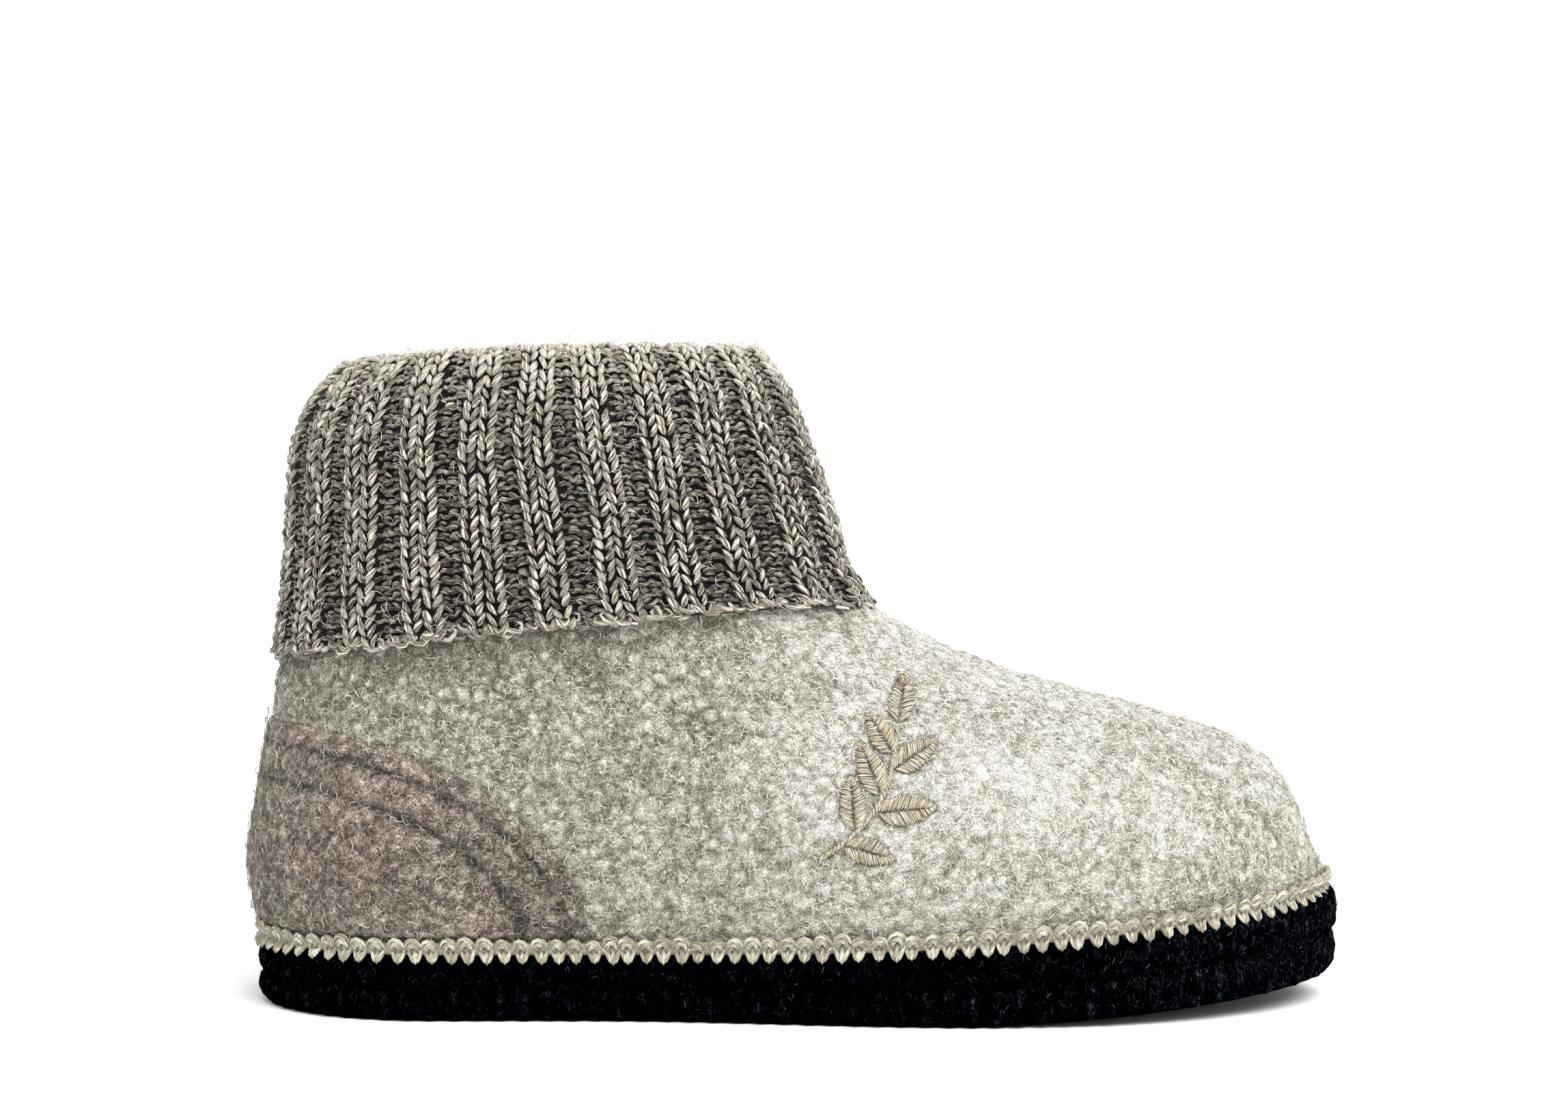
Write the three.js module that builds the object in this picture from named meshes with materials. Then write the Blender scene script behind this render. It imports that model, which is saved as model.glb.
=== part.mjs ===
// Ankle-high slipper boot for the right foot, in millimetres.
// +X runs from heel to toe, +Y to the inner (big toe) side, +Z up. The origin is on the floor,
// at the middle of the boot's length and width.
//
// A boiled wool upper, open at the collar and underneath, stands on a sole of two felt layers with
// a felt insole inside. A beige yarn seam runs round the joint of upper and sole, a second layer of
// wool covers the heel, and a ribbed knit cuff is sewn to the upper's top edge and folded down
// over it. Every piece is worked out from one lofted face, the outside of the wool upper.
import * as THREE from "three";

// Driving sizes
const LENGTH = 262; // heel bulge to the tip of the sole
const BALL_WIDTH = 98; // across the sole at the ball of the foot
const COLLAR_HEIGHT = 157.6; // floor to the fold of the cuff
const OUTSOLE_THICKNESS = 7.2;
const MIDSOLE_THICKNESS = 7.5;
const INSOLE_THICKNESS = 3;
const TOE_KICK = 11; // rise of the sole's top edge at the toe
const TOE_SPRING = 6; // rise of the sole's underside at the toe
const UPPER_WALL = 3.4;
const CLEARANCE = 0.3; // between pieces that touch

// Ledge of the sole outside the upper, and how far the heel bulges back past the sole
const HEEL_LEDGE = 3;
const SIDE_LEDGE = 3;
const TOE_LEDGE = 5.2;
const HEEL_BULGE = 2.8;

// Yarn seam over the joint of upper and sole
const SEAM_HEIGHT = 5.2;
const SEAM_THICKNESS = 2.5;

// Heel counter
const COUNTER_LENGTH = 79.5;
const COUNTER_HEIGHT = 53;
const COUNTER_THICKNESS = 1.6;
const COUNTER_LOW_END = 3; // height of its front corners above its lower edge

// Knit cuff: each wall is one layer of rib knit
const CUFF_INNER_WALL = 3;
const CUFF_OUTER_WALL = 3.9;
const CUFF_SLIT = 0.5; // between the two layers, and between the cuff and the upper
const CUFF_RIBS = 22;
const RIB_DEPTH = 1.3;
const RIB_SHARE = 0.6; // of the pitch that is raised
const RIB_SLOPE = 0.08; // share of the pitch between a rib's edge and the valley
const CUFF_OVERLAP = 12; // from the hem up to the upper's top edge, which the cuff hides

// Nubs of the knitted edge round the outsole
const NUB_PITCH = 5.5;
const NUB_DEPTH = 0.7;

// Steps round and up the faceted faces, and of the searches on the smooth loft behind them
const UPPER_COLUMNS = 60;
const UPPER_ROWS = 13;
const INNER_ROWS = 7;
const UNDER_CUFF_ROWS = 2; // between the hem and the upper's top edge
const CUFF_OUTER_ROWS = 6;
const CUFF_INNER_ROWS = 4;
const CUFF_SLIT_ROWS = 2; // between the upper's top edge and the fold
const COUNTER_ROWS = 8;
const COUNTER_FINE_FROM = 0.6; // share of the counter's reach past which it has twice the columns
const SOLE_COLUMNS = 56;
const FOLD_STEPS = 4; // over the fold of the cuff
const RING_SAMPLES = 180; // along each half of a ring, to measure its length
const HALVINGS = 30; // of the span in which a level is looked for

const halfLength = LENGTH / 2;
const halfBall = BALL_WIDTH / 2 - SIDE_LEDGE;
const soleHeight = OUTSOLE_THICKNESS + CLEARANCE + MIDSOLE_THICKNESS;
const featherBack = -halfLength + HEEL_BULGE + HEEL_LEDGE;
const featherFront = halfLength - TOE_LEDGE;
const featherLength = featherFront - featherBack;
const foldRadius = (CUFF_INNER_WALL + CUFF_OUTER_WALL + CUFF_SLIT) / 2;
const upperRise = COLLAR_HEIGHT - foldRadius - soleHeight - CLEARANCE;

// The rings of the loft, from the feather edge up to the fold of the cuff. Each ring leans from a
// point on the back profile to a point on the instep or the leg's front.
//   behind, short    shares of the feather length, behind its back end and short of its front end
//   backRise, frontRise, sideLift    shares of the upper's rise
//   half             share of the half width at the ball
//   heelRound, toeRound    shares of the ring's length that its round ends take
//   plan             how much of the sole's waist and ball shape the ring keeps
const RING_COLUMNS = [
  "behind", "short", "backRise", "frontRise", "sideLift", "half", "heelRound", "toeRound", "plan",
];
const RING_ROWS = [
  [0, 0, 0, 0, 0, 1, 0.165, 0.25, 1],
  [0.008, -0.006, 0.046, 0.03, 0, 1.022, 0.17, 0.262, 0.95],
  [0.0145, 0.001, 0.107, 0.064, 0, 1.038, 0.175, 0.28, 0.9],
  [0.0145, 0.012, 0.165, 0.121, 0, 1.036, 0.18, 0.305, 0.8],
  [0.0095, 0.028, 0.223, 0.186, 0, 1.016, 0.19, 0.34, 0.65],
  [0.0045, 0.053, 0.277, 0.24, 0, 0.984, 0.2, 0.39, 0.5],
  [-0.0005, 0.091, 0.327, 0.287, 0, 0.946, 0.22, 0.44, 0.35],
  [-0.0035, 0.143, 0.371, 0.329, 0, 0.912, 0.245, 0.475, 0.22],
  [-0.0045, 0.21, 0.407, 0.374, 0, 0.888, 0.275, 0.5, 0.12],
  [-0.006, 0.286, 0.439, 0.424, 0, 0.873, 0.31, 0.5, 0.05],
  [-0.011, 0.364, 0.474, 0.486, 0, 0.862, 0.35, 0.5, 0],
  [-0.0185, 0.437, 0.518, 0.568, 0, 0.85, 0.4, 0.5, 0],
  [-0.024, 0.463, 0.576, 0.618, 0, 0.845, 0.44, 0.5, 0],
  [-0.029, 0.478, 0.663, 0.704, 0, 0.843, 0.47, 0.5, 0],
  [-0.033, 0.492, 0.756, 0.781, 0.004, 0.84, 0.5, 0.5, 0],
  [-0.037, 0.507, 0.839, 0.856, 0.012, 0.835, 0.5, 0.5, 0],
  [-0.054, 0.522, 0.911, 0.92, 0.025, 0.826, 0.5, 0.5, 0],
  [-0.077, 0.544, 0.955, 0.973, 0.031, 0.81, 0.5, 0.5, 0],
];
const TOP_LEVEL = RING_ROWS.length - 1;

// The sole's plan: its half width as a share of that at the ball, and the sideways swing of its
// middle line as a share of the ball width, at shares of the length from the heel
const PLAN_COLUMNS = ["at", "half", "swing"];
const PLAN_ROWS = [
  [0, 0.8, 0],
  [0.2, 0.8, 0],
  [0.35, 0.8, -0.004],
  [0.47, 0.86, -0.014],
  [0.58, 0.95, -0.014],
  [0.67, 1, -0.007],
  [0.78, 1, 0.012],
  [0.88, 0.99, 0.038],
  [1, 0.98, 0.062],
];

// The hem of the cuff, as heights above the floor at the back and the front of the leg, and how
// far it arches above the line between them at the sides
const HEM_BACK = 82.2;
const HEM_FRONT = 95.7;
const HEM_ARCH = 2.8;
const HEM_REACH = 0.565; // share of the feather length where the hem meets the instep
const HEM_THIN = 0.7; // the outer layer's thickness at the hem, as a share of its full one

const mix = (a, b, share) => a + (b - a) * share;

// Cubic through four evenly spaced values, between the middle two
function cubic(before, from, to, after, share) {
  const square = share * share;
  return 0.5 * (2 * from + (to - before) * share
    + (2 * before - 5 * from + 4 * to - after) * square
    + (3 * from - before - 3 * to + after) * square * share);
}

function rowAt(rows, columns, position) {
  const last = rows.length - 1;
  const start = Math.min(Math.max(Math.floor(position), 0), last - 1);
  const row = (index) => rows[Math.min(Math.max(index, 0), last)];
  const values = columns.map((name, column) => [name, cubic(
    row(start - 1)[column], row(start)[column], row(start + 1)[column], row(start + 2)[column],
    position - start,
  )]);
  return Object.fromEntries(values);
}

const ringAt = (level) => rowAt(RING_ROWS, RING_COLUMNS, level);

function planAt(share) {
  const within = Math.min(Math.max(share, 0), 1);
  const next = PLAN_ROWS.findIndex((row, index) => index > 0 && within <= row[0]);
  const [from, to] = [PLAN_ROWS[next - 1][0], PLAN_ROWS[next][0]];
  return rowAt(PLAN_ROWS, PLAN_COLUMNS, next - 1 + (within - from) / (to - from));
}

// Height of the sole's top and underside at x
const KICK_START = -0.46; // share of the half length from the middle, where the top edge lifts
const KICK_POWER = 2.1;
const SPRING_START = 0.31; // the same for the underside
const SPRING_POWER = 1.25;
function soleTop(x) {
  const start = KICK_START * halfLength;
  const share = Math.max(x - start, 0) / (featherFront - start);
  return soleHeight + TOE_KICK * share ** KICK_POWER;
}
function soleUnderside(x) {
  const start = SPRING_START * halfLength;
  const share = Math.max(x - start, 0) / (featherFront - start);
  return TOE_SPRING * share ** SPRING_POWER;
}

// 0 at a round end, 1 where the round stretch meets the side
function roundEnd(distance, stretch) {
  const share = Math.min(distance / stretch, 1);
  return Math.sqrt(1 - (1 - share) ** 2);
}

// A point of the loft. The angle runs from 0 at the heel over the outer side to PI at the toe and
// back over the inner side.
function loftPoint(level, angle) {
  const ring = ringAt(level);
  const share = (1 - Math.cos(angle)) / 2;
  const x = mix(
    featherBack - ring.behind * featherLength,
    featherFront - ring.short * featherLength,
    share,
  );
  const plan = planAt((x - featherBack) / featherLength);
  const round = roundEnd(share, ring.heelRound) * roundEnd(1 - share, ring.toeRound);
  const half = halfBall * ring.half * mix(1, plan.half, ring.plan) * round;
  const side = angle <= Math.PI ? -1 : 1;
  const rise = mix(ring.backRise, ring.frontRise, share) + ring.sideLift * Math.abs(Math.sin(angle));
  return new THREE.Vector3(
    x,
    plan.swing * BALL_WIDTH + side * half,
    soleTop(x) + CLEARANCE + rise * upperRise,
  );
}

// Outward normal of the loft, from points a little to each side
const NORMAL_STEP = 0.01;
function loftNormal(level, angle) {
  const low = Math.max(level - NORMAL_STEP, 0);
  const high = Math.min(level + NORMAL_STEP, TOP_LEVEL);
  const up = loftPoint(high, angle).sub(loftPoint(low, angle));
  const turn = (angle + 2 * Math.PI) % (2 * Math.PI);
  const along = loftPoint(level, turn + NORMAL_STEP)
    .sub(loftPoint(level, (turn - NORMAL_STEP + 2 * Math.PI) % (2 * Math.PI)));
  return along.cross(up).normalize();
}

function offsetPoint(level, angle, distance) {
  return loftPoint(level, angle).addScaledVector(loftNormal(level, angle), distance);
}

// The same, moved only level with the floor
function levelOffset(level, angle, distance) {
  const normal = loftNormal(level, angle).setZ(0).normalize();
  return loftPoint(level, angle).addScaledVector(normal, distance);
}

// The level on the loft, at an angle, where a rising test turns true
function levelWhere(angle, test) {
  let [low, high] = [0, TOP_LEVEL];
  for (let step = 0; step < HALVINGS; step += 1) {
    const middle = (low + high) / 2;
    if (test(loftPoint(middle, angle))) high = middle;
    else low = middle;
  }
  return high;
}

const ringAngles = (count) => Array.from({ length: count }, (_, index) => (2 * Math.PI * index) / count);

// Angles at shares of a ring's length, where each side of the ring counts as half of it
function evenAngles(level, shares) {
  const halves = [0, Math.PI].map((start) => {
    const angles = Array.from(
      { length: RING_SAMPLES + 1 },
      (_, index) => start + (Math.PI * index) / RING_SAMPLES,
    );
    const travelled = [0];
    angles.slice(1).forEach((angle, index) => {
      const step = loftPoint(level, angle).distanceTo(loftPoint(level, angles[index]));
      travelled.push(travelled[index] + step);
    });
    return { angles, travelled };
  });
  return shares.map((share) => {
    const { angles, travelled } = halves[share < 0.5 ? 0 : 1];
    const wanted = (share < 0.5 ? share : share - 0.5) * 2 * travelled[RING_SAMPLES];
    const next = Math.max(travelled.findIndex((length) => length >= wanted), 1);
    const within = (wanted - travelled[next - 1]) / (travelled[next] - travelled[next - 1]);
    return mix(angles[next - 1], angles[next], within);
  });
}

// A closed body from rings of points, all with the same count. The rings close on each other, or
// else the first and the last are capped by strips between points that mirror each other.
function bodyFromRings(rings, caps = null) {
  const count = rings[0].length;
  const positions = rings.flat().flatMap((point) => [point.x, point.y, point.z]);
  const faces = [];
  const quad = (a, b, c, d) => {
    if (a !== b && b !== c && a !== c) faces.push([a, b, c]);
    if (a !== c && c !== d && a !== d) faces.push([a, c, d]);
  };
  const bands = caps === null ? rings.length : rings.length - 1;
  for (let band = 0; band < bands; band += 1) {
    const [low, high] = [band * count, ((band + 1) % rings.length) * count];
    for (let index = 0; index < count; index += 1) {
      const next = (index + 1) % count;
      quad(low + index, low + next, high + next, high + index);
    }
  }
  if (caps !== null) {
    const mirror = (index) => (caps.mirrorSum - index + count) % count;
    const top = (rings.length - 1) * count;
    for (let index = 0; index < Math.floor(caps.mirrorSum / 2); index += 1) {
      const corners = [index, index + 1, mirror(index + 1), mirror(index)];
      quad(...corners.map((corner) => top + corner));
      quad(...corners.reverse());
    }
  }
  return geometryFrom(positions, faces);
}

// Turns the faces outwards where the body comes out inside out
function geometryFrom(positions, faces) {
  const corner = (index) => new THREE.Vector3().fromArray(positions, index * 3);
  const volume = faces.reduce((sum, [a, b, c]) => sum + corner(a).dot(corner(b).cross(corner(c))), 0);
  const outward = volume > 0 ? faces : faces.map(([a, b, c]) => [a, c, b]);
  const geometry = new THREE.BufferGeometry();
  geometry.setAttribute("position", new THREE.Float32BufferAttribute(positions, 3));
  geometry.setIndex(outward.flat());
  geometry.computeVertexNormals();
  return geometry;
}

// Heights of the cuff's hem, and of the upper's top edge inside the cuff
function hemHeight(x) {
  const share = Math.min(Math.max((x - featherBack) / (HEM_REACH * featherLength), 0), 1);
  return mix(HEM_BACK, HEM_FRONT, share) + HEM_ARCH * Math.sin(Math.PI * share);
}
const hemLevel = (angle) => levelWhere(angle, (point) => point.z >= hemHeight(point.x));
const upperTopLevel = (angle) => levelWhere(angle, (point) => point.z >= hemHeight(point.x) + CUFF_OVERLAP);

// Evenly spaced shares from 0 to 1
const evenShares = (steps) => Array.from({ length: steps + 1 }, (_, step) => step / steps);

function makeUpper() {
  const angles = ringAngles(UPPER_COLUMNS);
  const hems = angles.map(hemLevel);
  const tops = angles.map(upperTopLevel);
  const row = (lows, highs, share, distance) => angles.map((angle, column) => offsetPoint(
    mix(lows[column], highs[column], share), angle, distance,
  ));
  const feather = angles.map(() => 0);
  const face = (steps, distance) => [
    ...evenShares(steps).slice(0, -1).map((share) => row(feather, hems, share, distance)),
    ...evenShares(UNDER_CUFF_ROWS).map((share) => row(hems, tops, share, distance)),
  ];
  const outer = face(UPPER_ROWS, 0);
  const inner = face(INNER_ROWS, -UPPER_WALL);
  // the feather edge stands flat on the sole
  inner[0] = angles.map((angle, column) => levelOffset(0, angle, -UPPER_WALL).setZ(outer[0][column].z));
  return bodyFromRings([...outer, ...inner.reverse()]);
}

// The sole's edge: the feather line moved out to the ledge, then in by an inset
const LEDGE_POWER = 4; // how late the side's ledge turns into that of the heel or the toe
function soleEdge(angle, inset) {
  const share = (1 - Math.cos(angle)) / 2;
  const toeShare = Math.max(share - 0.5, 0) * 2;
  const heelShare = Math.max(0.5 - share, 0) * 2;
  const ledge = SIDE_LEDGE + (TOE_LEDGE - SIDE_LEDGE) * toeShare ** LEDGE_POWER
    + (HEEL_LEDGE - SIDE_LEDGE) * heelShare ** LEDGE_POWER;
  return levelOffset(0, angle, ledge - inset);
}

// Side profiles of the two sole layers, from their underside up:
// how far each row lies in from the edge, and its height, as shares of the layer's thickness
const MIDSOLE_PROFILE = [[0.16, 0], [0.03, 0.16], [0, 0.45], [0.04, 0.8], [0.19, 1]];
const OUTSOLE_PROFILE = [[0.52, 0], [0.24, 0.08], [0.07, 0.4], [0.06, 0.8], [0.17, 1]];

function soleSplit(x) {
  const share = OUTSOLE_THICKNESS / (OUTSOLE_THICKNESS + MIDSOLE_THICKNESS);
  return mix(soleUnderside(x), soleTop(x) - CLEARANCE, share);
}

function makeMidsole() {
  const angles = ringAngles(SOLE_COLUMNS);
  const rings = MIDSOLE_PROFILE.map(([inset, share]) => angles.map((angle) => {
    const point = soleEdge(angle, inset * MIDSOLE_THICKNESS);
    return point.setZ(mix(soleSplit(point.x) + CLEARANCE, soleTop(point.x), share));
  }));
  return bodyFromRings(rings, { mirrorSum: SOLE_COLUMNS });
}

// Two columns a nub, one out and one in
function makeOutsole() {
  const edgeLength = ringAngles(2 * RING_SAMPLES).reduce((sum, angle, index, all) => {
    const next = all[(index + 1) % all.length];
    return sum + soleEdge(angle, 0).distanceTo(soleEdge(next, 0));
  }, 0);
  const columns = 4 * Math.round(edgeLength / NUB_PITCH / 2);
  const shares = Array.from({ length: columns }, (_, index) => index / columns);
  const angles = evenAngles(0, shares);
  const rings = OUTSOLE_PROFILE.map(([inset, share], row) => angles.map((angle, column) => {
    const onSide = row > 0 && row < OUTSOLE_PROFILE.length - 1;
    const nub = onSide && column % 2 === 1 ? NUB_DEPTH : 0;
    const point = soleEdge(angle, inset * OUTSOLE_THICKNESS + nub);
    return point.setZ(mix(soleUnderside(point.x), soleSplit(point.x), share));
  }));
  return bodyFromRings(rings, { mirrorSum: columns });
}

// Lies on the sole inside the feather edge, its own edge rounded a little
const INSOLE_PROFILE = [[0.1, 0], [0, 0.3], [0, 0.75], [0.23, 1]];
function makeInsole() {
  const angles = ringAngles(SOLE_COLUMNS);
  const room = UPPER_WALL + 2 * CLEARANCE;
  const rings = INSOLE_PROFILE.map(([inset, share]) => angles.map((angle) => {
    const point = levelOffset(0, angle, -room - inset * INSOLE_THICKNESS);
    return point.setZ(soleTop(point.x) + CLEARANCE + share * INSOLE_THICKNESS);
  }));
  return bodyFromRings(rings, { mirrorSum: SOLE_COLUMNS });
}

// The yarn seam's section: how far out from the upper, and how high, as shares of its sizes
const SEAM_PROFILE = [[0, 0], [0.75, 0], [1, 0.35], [0.55, 1], [0, 1], [0, 0.5]];
function makeSeam() {
  const angles = ringAngles(UPPER_COLUMNS);
  const rings = SEAM_PROFILE.map(([out, up]) => angles.map((angle) => {
    const base = soleTop(loftPoint(0, angle).x) + CLEARANCE;
    const level = levelWhere(angle, (point) => point.z >= base + up * SEAM_HEIGHT);
    return levelOffset(level, angle, CLEARANCE + out * SEAM_THICKNESS).setZ(base + up * SEAM_HEIGHT);
  }));
  return bodyFromRings(rings);
}

// Height of the counter's top edge above the sole at x: a quarter ellipse
function counterRise(x) {
  const share = Math.min(Math.max((x - featherBack) / COUNTER_LENGTH, 0), 1);
  return COUNTER_HEIGHT * Math.sqrt(1 - share ** 2);
}

// A patch of the upper's face behind the counter's top edge, in two skins a thickness apart
function makeHeelCounter() {
  const foot = SEAM_HEIGHT + 2 * CLEARANCE;
  const cornerShare = Math.sqrt(1 - ((foot + COUNTER_LOW_END) / COUNTER_HEIGHT) ** 2);
  const cornerX = featherBack + COUNTER_LENGTH * cornerShare;
  const widest = Math.acos(1 - (2 * (cornerX - featherBack)) / featherLength);
  // the upper's own columns and some between them, so that the flat faces of both stay apart
  const step = Math.PI / UPPER_COLUMNS;
  const turns = Array.from({ length: Math.floor(widest / step) }, (_, index) => index + 1)
    .filter((count) => count % 2 === 0 || count * step > widest * COUNTER_FINE_FROM)
    .map((count) => count * step);
  const allTurns = [-widest, ...turns.map((turn) => -turn).reverse(), 0, ...turns, widest];
  const columns = allTurns.map((turn) => {
    const angle = (turn + 2 * Math.PI) % (2 * Math.PI);
    const low = levelWhere(angle, (point) => point.z >= soleTop(point.x) + foot);
    const high = levelWhere(angle, (point) => point.z >= soleTop(point.x) + counterRise(point.x));
    const skinPoints = (distance) => Array.from({ length: COUNTER_ROWS + 1 }, (__, row) => levelOffset(
      mix(low, high, row / COUNTER_ROWS), angle, distance,
    ));
    return [
      ...skinPoints(CLEARANCE + COUNTER_THICKNESS),
      ...skinPoints(CLEARANCE).reverse(),
    ];
  });
  return bodyFromRings(columns, { mirrorSum: 2 * COUNTER_ROWS + 1 });
}

// One knit wall: up inside from the upper's top edge, over the fold and down outside to the hem
function makeCuff() {
  const half = RIB_SHARE / 2;
  const corners = [-half, half, half + RIB_SLOPE, 1 - half - RIB_SLOPE];
  const columns = Array.from({ length: CUFF_RIBS }, (_, rib) => corners.map((corner, index) => ({
    share: ((rib + 0.5 + corner) / CUFF_RIBS + 1) % 1,
    raised: index < 2,
  }))).flat();
  const angles = evenAngles(upperTopLevel(Math.PI / 2), columns.map((column) => column.share));
  const seats = angles.map((angle) => upperTopLevel(angle) + seatGap(angle));
  const hems = angles.map(hemLevel);
  const outside = (column) => CUFF_SLIT + CUFF_OUTER_WALL - (column.raised ? 0 : RIB_DEPTH);
  const fold = angles.map(() => TOP_LEVEL);
  const row = (from, to, share, distanceOf) => columns.map((column, index) => offsetPoint(
    mix(from[index], to[index], share), angles[index], distanceOf(column),
  ));
  return bodyFromRings([
    ...evenShares(CUFF_INNER_ROWS).map((share) => row(seats, fold, share, () => -CUFF_INNER_WALL)),
    ...foldRows(columns, angles, outside),
    ...evenShares(CUFF_OUTER_ROWS).map((share) => row(fold, hems, share, (column) => (
      CUFF_SLIT + (outside(column) - CUFF_SLIT) * (share === 1 ? HEM_THIN : 1)
    ))),
    // between the two layers: up from the hem, and down again to the seat
    ...evenShares(UNDER_CUFF_ROWS).slice(0, -1).map((share) => row(hems, seats, share, () => CUFF_SLIT)),
    ...evenShares(CUFF_SLIT_ROWS).slice(0, -1).map((share) => row(seats, fold, share, () => CUFF_SLIT)),
    ...evenShares(CUFF_SLIT_ROWS).slice(1).map((share) => row(fold, seats, share, () => 0)),
  ]);
}

// How much of a level lifts a point of the loft by the clearance
function seatGap(angle) {
  const level = upperTopLevel(angle);
  const climb = loftPoint(level + NORMAL_STEP, angle).z - loftPoint(level, angle).z;
  return (CLEARANCE * NORMAL_STEP) / climb;
}

// Rows over the fold, on a half circle from the inner face to the outer one
function foldRows(columns, angles, outside) {
  return evenShares(FOLD_STEPS).slice(1, -1).map((share) => columns.map((column, index) => {
    const angle = angles[index];
    const base = loftPoint(TOP_LEVEL, angle);
    const out = loftNormal(TOP_LEVEL, angle);
    const up = base.clone().sub(loftPoint(TOP_LEVEL - NORMAL_STEP, angle)).normalize();
    const turn = Math.PI * share;
    const reach = mix(-CUFF_INNER_WALL, outside(column), (1 - Math.cos(turn)) / 2);
    return base.addScaledVector(out, reach).addScaledVector(up, foldRadius * Math.sin(turn));
  }));
}

const MATERIALS = {
  upper: new THREE.MeshStandardMaterial({ color: 0xd3d0c6, roughness: 0.95, metalness: 0 }),
  heel_counter: new THREE.MeshStandardMaterial({ color: 0x8b8277, roughness: 0.95, metalness: 0 }),
  cuff: new THREE.MeshStandardMaterial({ color: 0x8d867a, roughness: 0.92, metalness: 0 }),
  edge_seam: new THREE.MeshStandardMaterial({ color: 0xd2c9ac, roughness: 0.85, metalness: 0 }),
  midsole: new THREE.MeshStandardMaterial({ color: 0x14161b, roughness: 0.95, metalness: 0 }),
  outsole: new THREE.MeshStandardMaterial({ color: 0x191c22, roughness: 0.95, metalness: 0 }),
  insole: new THREE.MeshStandardMaterial({ color: 0xcfc8b8, roughness: 0.9, metalness: 0 }),
};

function piece(name, geometry) {
  const mesh = new THREE.Mesh(geometry, MATERIALS[name]);
  mesh.name = name;
  return mesh;
}

const sole = new THREE.Group();
sole.add(piece("outsole", makeOutsole()), piece("midsole", makeMidsole()), piece("insole", makeInsole()));

const shaft = new THREE.Group();
shaft.add(
  piece("upper", makeUpper()),
  piece("heel_counter", makeHeelCounter()),
  piece("edge_seam", makeSeam()),
  piece("cuff", makeCuff()),
);

const slipperBoot = new THREE.Group();
slipperBoot.add(sole, shaft);

export default slipperBoot;
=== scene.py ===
import math

import bpy
import numpy as np
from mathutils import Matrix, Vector, noise


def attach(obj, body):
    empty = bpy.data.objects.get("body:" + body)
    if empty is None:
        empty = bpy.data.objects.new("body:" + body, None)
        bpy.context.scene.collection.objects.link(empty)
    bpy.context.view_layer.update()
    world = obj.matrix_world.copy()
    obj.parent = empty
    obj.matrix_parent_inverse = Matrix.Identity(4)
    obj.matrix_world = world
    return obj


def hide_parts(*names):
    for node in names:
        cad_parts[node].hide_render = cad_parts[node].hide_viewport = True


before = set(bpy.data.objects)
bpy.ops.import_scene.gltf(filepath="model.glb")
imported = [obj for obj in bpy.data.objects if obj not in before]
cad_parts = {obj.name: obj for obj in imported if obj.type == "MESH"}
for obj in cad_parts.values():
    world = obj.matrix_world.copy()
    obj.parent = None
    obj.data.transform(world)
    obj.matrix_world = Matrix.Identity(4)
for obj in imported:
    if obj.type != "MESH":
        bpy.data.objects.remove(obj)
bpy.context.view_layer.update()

MM = 0.001
TURN = 2 * math.pi

# Driving sizes of the boot
LENGTH = 262
BALL_WIDTH = 98
COLLAR_HEIGHT = 157.6
OUTSOLE_THICKNESS = 7.2
MIDSOLE_THICKNESS = 7.5
INSOLE_THICKNESS = 3
TOE_KICK = 11
TOE_SPRING = 6
UPPER_WALL = 3.4
CLEARANCE = 0.3
HEEL_LEDGE = 3
SIDE_LEDGE = 3
TOE_LEDGE = 5.2
HEEL_BULGE = 2.8
SEAM_HEIGHT = 5.2
SEAM_THICKNESS = 2.5
COUNTER_LENGTH = 79.5
COUNTER_HEIGHT = 53
COUNTER_THICKNESS = 1.6
CUFF_INNER_WALL = 3
CUFF_OUTER_WALL = 3.9
CUFF_SLIT = 0.5
CUFF_RIBS = 22
RIB_DEPTH = 1.3
RIB_SHARE = 0.6
CUFF_OVERLAP = 12
NUB_PITCH = 5.5
NUB_DEPTH = 0.7

HALF_LENGTH = LENGTH / 2
HALF_BALL = BALL_WIDTH / 2 - SIDE_LEDGE
SOLE_HEIGHT = OUTSOLE_THICKNESS + CLEARANCE + MIDSOLE_THICKNESS
FEATHER_BACK = -HALF_LENGTH + HEEL_BULGE + HEEL_LEDGE
FEATHER_FRONT = HALF_LENGTH - TOE_LEDGE
FEATHER_LENGTH = FEATHER_FRONT - FEATHER_BACK
FOLD_RADIUS = (CUFF_INNER_WALL + CUFF_OUTER_WALL + CUFF_SLIT) / 2
UPPER_RISE = COLLAR_HEIGHT - FOLD_RADIUS - SOLE_HEIGHT - CLEARANCE

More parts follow.
